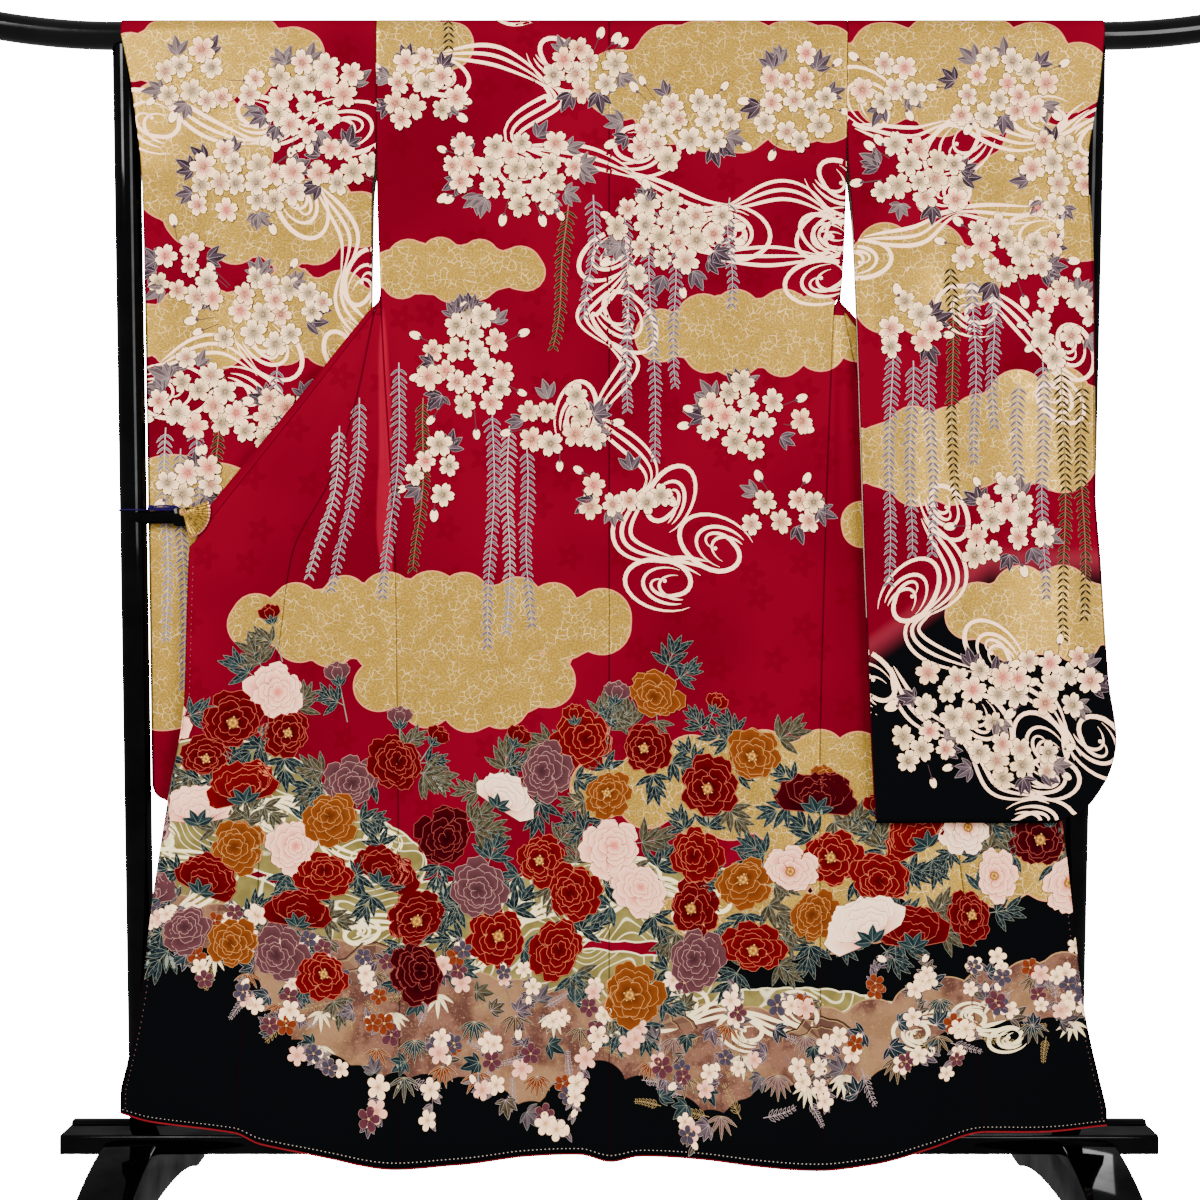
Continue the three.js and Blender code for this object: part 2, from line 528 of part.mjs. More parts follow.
// A foot: a low arch that crosses under the beam, rising in front of it and behind it, on two flat soles.
function leg() {
  const slot = BEAM.depth / 2 + FIT;
  const underBeam = BEAM.top - BEAM.height - FIT;
  const crest = { y: 50, z: 106 };
  const toe = { y: LEG.reach, z: 30 };
  const sole = 238;
  const arch = 26;
  const shape = new THREE.Shape();
  shape.moveTo(-toe.y, 0);
  shape.lineTo(-sole, 0);
  shape.quadraticCurveTo(-sole + 90, arch, 0, arch);
  shape.quadraticCurveTo(sole - 90, arch, sole, 0);
  shape.lineTo(toe.y, 0);
  shape.lineTo(toe.y, toe.z);
  shape.bezierCurveTo(toe.y - 60, toe.z + 40, crest.y + 90, crest.z - 8, crest.y + 8, crest.z);
  shape.lineTo(slot, crest.z);
  shape.lineTo(slot, underBeam);
  shape.lineTo(-slot, underBeam);
  shape.lineTo(-slot, crest.z);
  shape.lineTo(-crest.y - 8, crest.z);
  shape.bezierCurveTo(-crest.y - 90, crest.z - 8, -toe.y + 60, toe.z + 40, -toe.y, toe.z);
  shape.closePath();
  return shape;
}

// The foremost and hindmost Y of the hanging plane within a span of x and drop.
function planeRange(fromX, toX, fromDrop, toDrop) {
  const steps = 8;
  const found = [];
  for (let i = 0; i <= steps; i += 1) {
    for (let j = 0; j <= steps; j += 1) {
      found.push(planeY(lerp(fromX, toX, i / steps), lerp(fromDrop, toDrop, j / steps)));
    }
  }
  return { front: Math.min(...found), back: Math.max(...found) };
}

// The arm that holds a front open: a rod from the post, with a flat jaw behind the cloth.
function clipArm(side) {
  const sign = sideOf(side);
  const z = level(ARM.drop);
  const rod = tube(
    [Math.abs(postAt(side, z)), ARM.end].map((x) => new THREE.Vector3(sign * x, ARM.y, z)),
    [ARM.radius, ARM.radius],
    16,
  );
  const tip = ARM.end + PINCH.past;
  const cloth = planeRange(sign * (tip - PINCH.length), sign * tip, ARM.drop - PINCH.height / 2, ARM.drop + PINCH.height / 2);
  const face = cloth.back + WALL / 2 + FIT;
  const thick = ARM.y - ARM.radius + PINCH.bite - face;
  const jaw = new THREE.BoxGeometry(PINCH.length, thick, PINCH.height);
  jaw.translate(sign * (tip - PINCH.length / 2), face + thick / 2, z);
  const hole = tube([z - 60, z + 60].map((h) => new THREE.Vector3(postAt(side, h), 0, h)),
    [POST.radius + FIT, POST.radius + FIT], 24);
  return geometryOf(solid(rod).add(solid(jaw)).subtract(solid(hole)));
}

// The clip's front: a small folding fan, opened inwards and downwards from its pivot.
function fanClip(side) {
  const sign = sideOf(side);
  const from = 22;
  const to = -74;
  const edge = Array.from({ length: 2 * FAN.ribs + 1 }, (_, i) => {
    const turn = THREE.MathUtils.degToRad(lerp(from, to, i / (2 * FAN.ribs)));
    const reach = i % 2 ? FAN.radius : FAN.radius - 1.6;
    return new THREE.Vector2(reach * Math.cos(turn), reach * Math.sin(turn));
  });
  const shape = new THREE.Shape([new THREE.Vector2(-5, -5), new THREE.Vector2(-5, 5), new THREE.Vector2(3, 7), ...edge]);
  const geometry = new THREE.ExtrudeGeometry(shape, { depth: FAN.thick, bevelEnabled: false });
  geometry.rotateX(Math.PI / 2);
  const cloth = planeRange(sign * (FAN.x - FAN.radius), sign * (FAN.x + FAN.radius), FAN.drop, FAN.drop + FAN.radius);
  if (sign > 0) {
    geometry.rotateZ(Math.PI);
    geometry.translate(0, -FAN.thick, 0);
  }
  geometry.translate(sign * FAN.x, cloth.front - WALL / 2 - FIT, level(FAN.drop));
  return geometry;
}

// The cord round the left post: a thin loop, and a flat bundle of it lying along the arm.
function tieLoop() {
  const z = level(ARM.drop) + ARM.radius + 1.6;
  const ring = new THREE.TorusGeometry(POST.radius + FIT + 1.2, 1.1, 6, 28);
  ring.translate(postAt("left", z), 0, z);
  return ring;
}

function tieBundle() {
  const z = level(ARM.drop) + ARM.radius + FIT + 3.2;
  const from = Math.abs(postAt("left", z)) - POST.radius - 4;
  const stations = [0, 0.06, 0.25, 0.5, 0.75, 0.94, 1];
  return tube(
    stations.map((t) => new THREE.Vector3(-lerp(from, ARM.end + 2, t), ARM.y, z)),
    stations.map((t) => 3.2 * (0.5 + 0.5 * Math.sin(Math.PI * (0.12 + 0.76 * t)) ** 0.5)),
    10,
  );
}

// ---- the whole ----
const lacquer = { color: 0x101012, roughness: 0.18, metalness: 0 };
const gold = { color: 0xc9a227, roughness: 0.3, metalness: 0.9 };
const silk = { color: 0xa31228, roughness: 0.55, metalness: 0 };
const lining = { color: 0xb0202c, roughness: 0.6, metalness: 0 };
const cord = { color: 0x2a1c66, roughness: 0.8, metalness: 0 };

const furisode = new THREE.Group();
function add(name, geometry, finish) {
  const mesh = new THREE.Mesh(geometry, new THREE.MeshStandardMaterial(finish));
  mesh.name = name;
  furisode.add(mesh);
  return mesh;
}

for (const side of ["left", "right"]) {
  const sign = sideOf(side);
  const body = bodyRows(side);
  const okumi = okumiRows(side);
  add(`body_${side}`, sheet(body), silk);
  add(`okumi_${side}`, sheet(okumi), silk);
  add(`sleeve_${side}`, sleeve(side), silk);
  add(`hem_edge_back_${side}`, hemEdge(body[0], body[1]), lining);
  add(`hem_edge_front_${side}`, hemEdge(body.at(-1), body.at(-2)), lining);
  add(`hem_edge_okumi_${side}`, hemEdge(okumi.at(-1), okumi.at(-2)), lining);
  add(`post_${side}`, post(side), lacquer);
  add(`clip_arm_${side}`, clipArm(side), lacquer);
  add(`fan_clip_${side}`, fanClip(side), gold);
  add(`leg_${side}`, alongX(leg(), sign * LEG.centre, LEG.width), lacquer);
}
add("collar", collar(), silk);
add("rail", rail(), lacquer);
add("base_beam", baseBeam(), lacquer);
add("tie_loop", tieLoop(), cord);
add("tie_bundle", tieBundle(), cord);

export default furisode;
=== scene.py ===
# %% [markdown]
# # A furisode on its lacquered stand
# A furisode is a young woman's formal kimono with long swinging sleeves. It is sewn from straight widths of
# silk, and here it hangs over the rail of a stand with its back outwards and both fronts held open by a fan
# clip. The frame holds the plain solids of every piece. This lesson lays fine cloth on their forms, dyes and
# gilds it, and finishes the stand.

# %% The frame
import math
import random

import bmesh
import bpy
import numpy as np
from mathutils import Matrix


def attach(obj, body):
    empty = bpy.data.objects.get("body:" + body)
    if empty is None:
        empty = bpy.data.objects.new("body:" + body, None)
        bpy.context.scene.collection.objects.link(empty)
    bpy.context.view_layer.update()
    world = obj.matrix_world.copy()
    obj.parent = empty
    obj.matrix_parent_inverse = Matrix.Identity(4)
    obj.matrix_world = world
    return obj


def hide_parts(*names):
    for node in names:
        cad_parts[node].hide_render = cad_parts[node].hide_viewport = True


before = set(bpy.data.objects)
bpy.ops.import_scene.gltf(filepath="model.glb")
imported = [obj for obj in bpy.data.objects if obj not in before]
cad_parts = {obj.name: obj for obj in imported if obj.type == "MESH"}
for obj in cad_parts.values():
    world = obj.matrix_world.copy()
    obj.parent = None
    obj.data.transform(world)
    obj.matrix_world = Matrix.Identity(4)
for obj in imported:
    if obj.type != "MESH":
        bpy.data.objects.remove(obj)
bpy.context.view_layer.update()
MM = 0.001

# %% [markdown]
# ## The camera
# The camera stands three metres off, level, at the height of the garment's middle, so upright lines stay
# upright. The view is raised a little with the lens shift, as a studio camera does, and not by tilting.

# %% Camera
camera_data = bpy.data.cameras.new("camera")
camera_data.sensor_width = 36
camera_data.lens = 62.94
camera_data.shift_y = 22 / 1200
camera = bpy.data.objects.new("camera", camera_data)
camera.location = (-0.013, -3.0, 0.84)
camera.rotation_euler = (math.radians(90), 0, 0)
bpy.context.scene.collection.objects.link(camera)
bpy.context.scene.camera = camera
print("camera", tuple(camera.location))

# %% [markdown]
# ## Light and floor
# Two wide soft lights in front give silk its slow highlights, and a pale room fills the shadows. The floor is
# plain.

# %% Room, floor and lights
world = bpy.data.worlds.new("room")
bpy.context.scene.world = world
world.use_nodes = True
SEEN, LIT = 24.0, 0.95
room = world.node_tree.nodes["Background"]
room.inputs["Color"].default_value = (1.0, 1.0, 1.0, 1.0)
rays = world.node_tree.nodes.new("ShaderNodeLightPath")
strength = world.node_tree.nodes.new("ShaderNodeMapRange")
strength.inputs["To Min"].default_value = LIT
strength.inputs["To Max"].default_value = SEEN
world.node_tree.links.new(rays.outputs["Is Camera Ray"], strength.inputs["Value"])
world.node_tree.links.new(strength.outputs["Result"], room.inputs["Strength"])


def light(name, place, size, power, aim):
    data = bpy.data.lights.new(name, "AREA")
    data.shape = "RECTANGLE"
    data.size, data.size_y = size
    data.energy = power
    lamp = bpy.data.objects.new(name, data)
    lamp.location = place
    direction = np.array(aim) - np.array(place)
    flat = math.hypot(direction[0], direction[1])
    lamp.rotation_euler = (math.atan2(flat, -direction[2]), 0,
                           math.atan2(direction[1], direction[0]) - math.pi / 2)
    bpy.context.scene.collection.objects.link(lamp)
    return lamp


light("key", (-2.5, -3.2, 2.8), (1.4, 1.4), 430, (0, 0, 0.9))
light("fill", (2.3, -3.5, 1.6), (1.6, 2.0), 280, (0, 0, 0.75))
light("rear", (0.6, 3.0, 2.6), (2.4, 1.6), 285, (0, 0, 0.9))

bpy.ops.mesh.primitive_plane_add(size=5, location=(0, 0, 0))
floor = bpy.context.object
floor.name = "floor"
paper = bpy.data.materials.new("paper_floor")
paper.use_nodes = True
nodes, links = paper.node_tree.nodes, paper.node_tree.links
sheen = nodes["Principled BSDF"]
sheen.inputs["Base Color"].default_value = (0.4, 0.4, 0.4, 1)
sheen.inputs["Roughness"].default_value = 0.6
spread = nodes.new("ShaderNodeTexGradient")
spread.gradient_type = "SPHERICAL"
place = nodes.new("ShaderNodeTexCoord")
shrink = nodes.new("ShaderNodeVectorMath")
shrink.operation = "MULTIPLY"
shrink.inputs[1].default_value = (0.8, 1.5, 1.0)
links.new(place.outputs["Object"], shrink.inputs[0])
links.new(shrink.outputs[0], spread.inputs["Vector"])
fade = nodes.new("ShaderNodeMapRange")
fade.interpolation_type = "SMOOTHSTEP"
fade.inputs["From Max"].default_value = 0.7
fade.inputs["To Max"].default_value = 0.16
links.new(spread.outputs["Fac"], fade.inputs["Value"])
links.new(fade.outputs["Result"], sheen.inputs["Alpha"])
floor.data.materials.append(paper)

# %% [markdown]
# ## Sizes, in millimetres
# Cloth is described by its middle surface. A "drop" is a distance below the rail's axis. Left and right are
# as the camera sees them, and x of a table is positive on both sides. The numbers are the frame's own driving
# sizes.

# %% Driving sizes
WALL = 1.4
RAIL = {"radius": 20, "height": 1678, "straight": 700, "reach": 950, "bend": 1030}
ROUND = RAIL["radius"] + 0.6 + WALL / 2
PLANE = {"slope": 0.003, "swing_from": 1032, "swing_over": 540, "swing": 26}
WAVE = {"height": 3.5, "full_at": 1200, "length": 190, "phase": 0.6}
HEM = {"mean": 1572, "shaped_from": 1312}
NECK = {"behind": 35, "shoulder": 86}
COLLAR = {"width": 14, "start": 6, "corner": (325.2, 377), "end": (594.6, 708)}
WRIST = 232
SIDES = {"left": -1, "right": 1}


def table(names, rows):
    """Named columns, as arrays, from rows of numbers."""
    return dict(zip(names.split(), np.array(rows, float).T))


def rows_of(columns):
    return zip(*columns.values())


BACK_EDGE = {
    "left": table("drop x", [(0, 331), (187, 330), (381, 323.8), (750, 304), (1090, 299.5), (1606, 294)]),
    "right": table("drop x", [
        (0, 339), (187, 337), (342, 331.5), (366, 329), (388, 320), (480, 315), (750, 306), (1090, 299),
        (1606, 299),
    ]),
}
OKUMI_SEAM = {
    "left": table("drop x", [
        (398, 333.4), (432, 340), (523, 359), (622, 389), (746, 451), (859, 467), (1034, 492), (1232, 498),
        (1344, 504), (1414, 517), (1554, 526),
    ]),
    "right": table("drop x", [
        (398, 333.4), (432, 340), (523, 361), (622, 391), (746, 452), (859, 468), (1034, 487), (1133, 493),
        (1274, 508), (1372, 514), (1552, 528),
    ]),
}
OKUMI_EDGE = {
    "left": table("drop x", [
        (719, 582), (732, 595.5), (807, 599), (949, 603), (1090, 626.5), (1232, 647.5), (1372, 663),
        (1527, 688),
    ]),
    "right": table("drop x", [
        (719, 582), (732, 595.5), (807, 600), (949, 606), (1114, 641), (1274, 659), (1372, 669.5),
        (1545, 701),
    ]),
}
HEM_LINE = table("x drop", [
    (-688, 1527), (-646, 1540), (-526, 1554), (-491, 1570), (-393, 1590), (-294, 1606), (-210, 1599),
    (-118, 1587), (-41, 1585), (1, 1594), (43, 1586), (128, 1592), (212, 1601), (299, 1608), (367, 1599),
    (451, 1576), (528, 1554), (620, 1552), (701, 1545),
])
TURN_NAMES = "side_drop side_x side_y neck_drop neck_x neck_y"
FRONT_TURN = {
    "left": table(TURN_NAMES, [
        (0, 331, 21.3, 0, 86, 21.3), (82, 331, 20.5, 87, 132, 21.5), (172, 330.5, 17, 177, 196, 21),
        (252, 329.5, 9, 262, 255, 18), (312, 328, -3, 322, 296, 13), (347, 326, -13, 357, 318, 7),
        (370, 324.4, -20, 379, 328, -4), (390, 324.2, -22.3, 398, 333.4, -21),
    ]),
    "right": table(TURN_NAMES, [
        (0, 339, 21.3, 0, 86, 21.3), (82, 338, 20.5, 87, 132, 21.5), (172, 337, 17, 177, 196, 21),
        (252, 335, 9, 262, 255, 18), (312, 333, -3, 322, 296, 13), (347, 331, -13, 357, 318, 7),
        (370, 329, -20, 379, 328, -4), (390, 320.6, -22.3, 398, 333.4, -21),
    ]),
}
COLLAR_FREE = table("x drop y", [
    (0, 35, 22), (18, 35, 22), (30, 36, 22), (38, 38, 22), (45, 43, 22), (92, 115, 23), (158, 202, 23),
    (224, 282, 22.5), (276, 334, 21), (307, 360, 17.5), (323.5, 371, 9),
])
SLEEVE_NAMES = "drop inner outer back_outer front_in front_out back_in back_out"
SLEEVE_ROWS = {
    "left": table(SLEEVE_NAMES, [
        (0, 331.8, 694, 694, -21.3, -21.3, 21.3, 21.3), (68, 332.2, 680, 680, -21.3, -21.3, 20, 21.3),
        (132, 332.6, 671, 671, -21.5, -21.3, 18.5, 21), (187, 333, 665, 665, -21.6, -20.8, 17, 19),
        (232, 337, 663.5, 663.5, -17, -14, 15, 14), (330, 339, 662.5, 662.5, -5, -3, 15, 15),
        (440, 340, 661, 661, 2, 3, 15, 15), (560, 340, 659, 659, 3, 3.4, 15, 15),
        (700, 341, 657, 657, 3, 3.4, 15, 15), (840, 341, 655, 655, 3, 3.4, 15, 15),
        (980, 342, 653, 653, 3, 3.4, 15, 15), (1070, 342, 651.5, 651.5, 3, 3.4, 15, 15),
        (1085, 342, 646, 646, 3, 3.4, 15, 15), (1098, 342, 622, 622, 3, 3.4, 15, 15),
    ]),
    "right": table(SLEEVE_NAMES, [
        (0, 339.8, 704, 704, -21.3, -21.3, 21.3, 21.3), (42, 339.8, 700, 692, -21.3, -21.5, 20.5, 21.3),
        (92, 339.8, 694, 662, -21.5, -22.5, 19.5, 15), (132, 339.8, 686, 654, -21.6, -24, 18.5, 0),
        (187, 340, 678, 661, -21.8, -29, 16, -21), (232, 343, 677, 677, -25, -34, 4, -28),
        (290, 346, 680, 680, -31, -38, -16, -30), (340, 347, 681, 681, -38, -42, -28, -31),
        (432, 350, 682, 682, -43, -43, -32, -32), (652, 357, 683, 683, -44.5, -44.5, -33, -33),
        (750, 360, 690, 690, -44.5, -44.5, -33, -33), (920, 367, 701, 701, -45.5, -45.5, -34, -34),
        (1005, 370, 712, 712, -45.5, -45.5, -34, -34), (1040, 372, 706, 706, -45.5, -45.5, -34, -34),
        (1080, 374, 686, 686, -45.5, -45.5, -34, -34), (1106, 376, 662, 662, -45.5, -45.5, -34, -34),
        (1117, 376, 630, 630, -45.5, -45.5, -34, -34),
    ]),
}
print("tables for", ", ".join(SLEEVE_ROWS))

# %% [markdown]
# ## The surface that the cloth hangs on
# A garment on a stand is almost a plane, and what makes it cloth is how little it departs from one: long
# upright waves, a swing outwards at the hem, and soft troughs that start at a seam, an armhole or the clip.
# Simulation would settle such a broad sheet into creases nobody placed, so the surface is a formula and the
# troughs are placed one by one.

# %% Curves and the hanging plane
def lerp(a, b, share):
    return a + (b - a) * share


def along(columns, key, column, at):
    """A column at values of its key column, on a smooth curve with no overshoot."""
    keys, values = columns[key], columns[column]
    at = np.clip(np.asarray(at, float), keys[0], keys[-1])
    slopes = np.diff(values) / np.diff(keys)
    before, after = slopes[:-1], slopes[1:]
    total = np.where(before * after > 0, before + after, 1)
    inner = np.where(before * after > 0, 2 * before * after / total, 0)
    tangents = np.concatenate([slopes[:1], inner, slopes[-1:]])
    i = np.clip(np.searchsorted(keys, at, "right") - 1, 0, len(keys) - 2)
    span = keys[i + 1] - keys[i]
    t = (at - keys[i]) / span
    return (
        (2 * t**3 - 3 * t**2 + 1) * values[i] + (t**3 - 2 * t**2 + t) * span * tangents[i]
        + (3 * t**2 - 2 * t**3) * values[i + 1] + (t**3 - t**2) * span * tangents[i + 1]
    )


# Soft troughs: from one end to the other, half width and depth. A negative depth is a ridge.
CREASE_NAMES = "x0 drop0 x1 drop1 width depth"
CREASES = table(CREASE_NAMES, [
    (-324, 385, -560, 690, 13, 1.8), (-330, 400, -470, 730, 10, -1.4), (-330, 420, -405, 780, 11, 1.6),
    (-322, 430, -345, 900, 12, -1.5), (-310, 470, -300, 1080, 12, 1.5), (-590, 730, -545, 1060, 16, 2.0),
    (-585, 750, -500, 940, 12, -1.4), (-230, 700, -248, 1580, 26, 1.6), (-120, 900, -108, 1590, 22, -1.3),
    (-60, 120, -52, 700, 24, 0.9), (70, 60, 78, 820, 26, -0.9), (150, 640, 138, 1590, 24, 1.4),
    (236, 380, 262, 1100, 20, 1.1), (300, 420, 330, 1000, 12, -1.3), (-180, 60, -196, 520, 22, 0.9),
    (-410, 1100, -430, 1580, 22, 1.5), (-610, 1150, -640, 1530, 18, 1.4), (420, 1150, 436, 1590, 20, 1.5),
    (560, 1200, 590, 1550, 20, -1.4), (20, 1180, 30, 1600, 16, -1.0), (-20, 1250, -26, 1600, 15, 1.2),
    (-300, 1300, -292, 1610, 18, 1.6), (310, 1320, 302, 1610, 18, 1.6), (-321, 388, -304, 770, 7, -5.0),
    (319, 390, 316, 720, 7, -3.0),
])
SLEEVE_CREASES = {
    "left": table(CREASE_NAMES, [
        (-345, 150, -470, 560, 18, -1.6), (-350, 200, -420, 640, 14, 1.5), (-560, 40, -590, 520, 22, 1.6),
        (-640, 230, -520, 520, 16, 1.4), (-610, 500, -618, 1060, 16, -1.2), (-450, 30, -462, 330, 20, 1.1),
    ]),
    "right": table(CREASE_NAMES, [
        (352, 200, 420, 700, 18, 1.6), (350, 260, 380, 900, 14, -1.3), (660, 60, 600, 640, 22, 1.7),
        (560, 20, 540, 520, 24, -1.2), (480, 60, 470, 720, 20, 1.2), (640, 620, 664, 1060, 18, 1.4),
        (520, 700, 500, 1080, 18, -1.1), (430, 760, 440, 1090, 14, 1.0),
    ]),
}


def creases(columns, x, drop):
    """Depth of all the troughs at places on the cloth."""
    depth = np.zeros(np.broadcast(x, drop).shape)
    for x0, d0, x1, d1, width, deep in rows_of(columns):
        run = np.array([x1 - x0, d1 - d0])
        length = math.hypot(*run)
        share = ((x - x0) * run[0] + (drop - d0) * run[1]) / length**2
        aside = ((x - x0) * run[1] - (drop - d0) * run[0]) / length
        fade = np.sin(np.pi * np.clip(share, 0, 1)) ** 1.2
        depth += 1.3 * deep * fade * np.exp(-((aside / width) ** 2))
    return depth


def plane_y(x, drop):
    swing = np.clip((drop - PLANE["swing_from"]) / PLANE["swing_over"], 0, 1) ** 2 * PLANE["swing"]
    upright = np.sin(2 * np.pi * x / WAVE["length"] + WAVE["phase"])
    wave = WAVE["height"] * np.clip(drop / WAVE["full_at"], 0, 1) * upright
    return -ROUND - PLANE["slope"] * drop - swing - wave


def plane_point(x, drop):
    """Points of the hanging plane. Near the hem the rows bend to the hem's line."""
    x, drop = np.broadcast_arrays(np.asarray(x, float), np.asarray(drop, float))
    share = np.clip((drop - HEM["shaped_from"]) / (HEM["mean"] - HEM["shaped_from"]), 0, 1) ** 2
    low = drop + (along(HEM_LINE, "x", "drop", x) - HEM["mean"]) * share
    y = plane_y(x, low) + creases(CREASES, x, low)
    return np.stack([x, y, RAIL["height"] - low], -1)


def rail_point(x, degrees, radius=ROUND):
    turn = np.radians(degrees)
    x, turn = np.broadcast_arrays(np.asarray(x, float), turn)
    return np.stack([x, radius * np.sin(turn), RAIL["height"] + radius * np.cos(turn)], -1)


middle = plane_point(0.0, 900.0)
print("the middle of the back hangs at", middle.round(1))

# %% [markdown]
# ## A panel
# Each sewn piece is a grid of points, row by row along the silk's length. The grid is kept after the mesh is
# made, because the dyer's pattern is mapped on it later: a place on the flat design finds its row and its
# share across. Columns crowd together at both edges, where the cloth dips into a seam.

# %% Grid of a panel and its wall
STEP = 8.0
EDGE_COLUMNS = (0.0, 1.2, 3.2)


def shares(width):
    """Shares across a panel, crowded at both edges."""
    inner = np.linspace(6.5, width - 6.5, max(2, round((width - 13) / STEP) + 1))
    edge = np.array(EDGE_COLUMNS)
    return np.concatenate([edge, inner, width - edge[::-1]]) / width


def grid_normals(points):
    """Unit normals of a grid of points, facing the way that rows then columns turn."""
    down = np.gradient(points, axis=0)
    across = np.gradient(points, axis=1)
    normal = np.cross(across, down)
    return normal / np.maximum(np.linalg.norm(normal, axis=-1, keepdims=True), 1e-9)


def grid_quads(rows, columns, first=0):
    at = first + np.arange(rows * columns).reshape(rows, columns)
    return np.stack([at[:-1, :-1], at[:-1, 1:], at[1:, 1:], at[1:, :-1]], -1).reshape(-1, 4)


class Panel:
    """A piece's grid in millimetres, its outward normals, and where each row lies on the flat design."""

    def __init__(self, rows, drops, spread, dips=(True, True)):
        self.points = np.array(rows)
        self.drops = np.array(drops, float)
        self.shares = spread
        self.from_x = self.points[:, 0, 0].copy()
        self.to_x = self.points[:, -1, 0].copy()
        self.normals = grid_normals(self.points)
        middle_row = np.argmin(abs(self.drops - 500))
        if self.normals[middle_row, self.points.shape[1] // 2, 1] > 0:
            self.normals = -self.normals
        dip = np.zeros(self.points.shape[1])
        for place, depth in zip(range(len(EDGE_COLUMNS)), (0.9, 0.35, 0.05)):
            dip[place] = depth * dips[0]
            dip[-1 - place] = depth * dips[1]
        self.points -= self.normals * dip[None, :, None]

    def design(self):
        """x and drop of each grid point on the flat design."""
        share = np.linspace(0, 1, self.points.shape[1])
        first = self.points[:, :1, 0]
        span = self.points[:, -1:, 0] - first
        width = np.where(abs(span) < 1e-6, 1, span)
        share = np.where(abs(span) < 1e-6, share[None], (self.points[..., 0] - first) / width)
        across = lerp(self.from_x[:, None], self.to_x[:, None], share)
        return across, np.repeat(self.drops[:, None], share.shape[1], 1)


print("columns across 300 mm:", len(shares(300)))

# %% [markdown]
# ## Where the dyer's grounds lie
# The silk is dyed red, then black towards the hem, and gilded clouds, streams and a mottled band lie over it.
# Each ground is stored on the cloth as a signed distance to its edge, in millimetres, positive inside. A
# distance stays straight between two grid points where a colour would smear, so the edge comes out crisp at
# any size of grid. The strip of painted highlight on the pressed fold beside the left side seam is stored the
# same way.

# %% Clouds and grounds as signed distances
def cloud(x, drop, half_long, half_tall, seed):
    """A scalloped cloud: lobes along its upper and lower edge round a full middle, as (x, drop, radius)."""
    rng = random.Random(seed)
    lobes = max(3, round(half_long / 33))
    puffs = []
    for edge in (-1, 1):
        for k in range(lobes + 1):
            share = min(1, max(0, (k + rng.uniform(-0.22, 0.22)) / lobes))
            tall = half_tall * math.sqrt(1 - 0.8 * (2 * share - 1) ** 2)
            radius = rng.uniform(0.3, 0.44) * half_tall + 13
            along_x = x + half_long * (2 * share - 1) * 0.94
            puffs.append((along_x, drop + edge * (tall - 0.85 * radius), radius))
    for k in range(4 * lobes + 1):
        share = k / (4 * lobes)
        tall = half_tall * math.sqrt(1 - 0.8 * (2 * share - 1) ** 2)
        puffs.append((x + half_long * (2 * share - 1) * 0.88, drop, 0.84 * tall))
    return puffs


def pool(x, drop, half_long, half_tall, lean=0.0):
    """A smooth patch of water, as overlapping circles."""
    stations = [k / 12 * 2 - 1 for k in range(13)]
    return [(x + half_long * s, drop + lean * half_long * s, half_tall * math.sqrt(1.02 - s * s))
            for s in stations]


def inside(puffs, x, drop):
    """Signed distance to the edge of a union of circles."""
    best = np.full(np.broadcast(x, drop).shape, -400.0)
    for cx, cd, radius in puffs:
        best = np.maximum(best, radius - np.hypot(x - cx, drop - cd))
    return best


def together(shapes):
    return [puff for shape in shapes for puff in shape]


GOLD_CLOUDS = {
    "garment": together([
        cloud(196, 74, 196, 92, 11), cloud(-292, 18, 74, 52, 12), cloud(-232, 338, 122, 42, 13),
        cloud(214, 428, 150, 58, 14), cloud(-262, 838, 268, 66, 15), cloud(-206, 926, 128, 62, 16),
        cloud(262, 1070, 292, 74, 17), cloud(470, 1178, 236, 62, 18), cloud(236, 1262, 150, 48, 19),
        cloud(-214, -250, 130, 62, 20), cloud(210, -330, 120, 54, 21), cloud(-120, -470, 90, 40, 22),
        cloud(250, -110, 110, 46, 23), cloud(480, 700, 130, 44, 29),
    ]),
    "sleeve_left": together([
        cloud(-560, 34, 128, 62, 31), cloud(-606, 168, 92, 92, 32), cloud(-474, 262, 128, 66, 33),
        cloud(-430, 402, 112, 66, 34), cloud(-588, 420, 86, 54, 35), cloud(-606, 800, 98, 190, 36),
        cloud(-430, 720, 104, 60, 37), cloud(-500, -210, 150, 74, 38), cloud(-450, -560, 120, 62, 39),
        cloud(-560, -840, 130, 70, 40),
    ]),
    "sleeve_right": together([
        cloud(500, 60, 176, 84, 41), cloud(424, 352, 92, 78, 42), cloud(640, 226, 84, 100, 43),
        cloud(452, 604, 112, 66, 44), cloud(618, 566, 100, 84, 45), cloud(612, 828, 112, 66, 46),
        cloud(520, -240, 150, 74, 47), cloud(600, -600, 130, 66, 48), cloud(460, -820, 120, 60, 49),
    ]),
}
POOLS = together([
    pool(-560, 1100, 130, 96), pool(-420, 1150, 150, 62, 0.25), pool(-250, 1268, 230, 62),
    pool(-560, 1262, 100, 70),
    pool(40, 1232, 190, 58), pool(-60, 1370, 230, 70), pool(250, 1398, 170, 44), pool(470, 1410, 120, 34),
])
NIGHT_LINE = table("x drop", [
    (-720, 1300), (-460, 1318), (-240, 1352), (20, 1380), (96, 1262), (180, 1196), (420, 1150), (720, 1158),
])
BAND_TOP = table("x drop", [
    (-720, 1222), (-520, 1262), (-330, 1322), (-120, 1362), (80, 1392), (300, 1398), (470, 1360), (720, 1306),
])
BAND_FOOT = table("x drop", [
    (-720, 1296), (-560, 1318), (-450, 1436), (-330, 1474), (-200, 1486), (-110, 1520), (-10, 1466),
    (60, 1496), (150, 1528), (260, 1484), (360, 1492), (440, 1446), (540, 1420), (720, 1408),
])


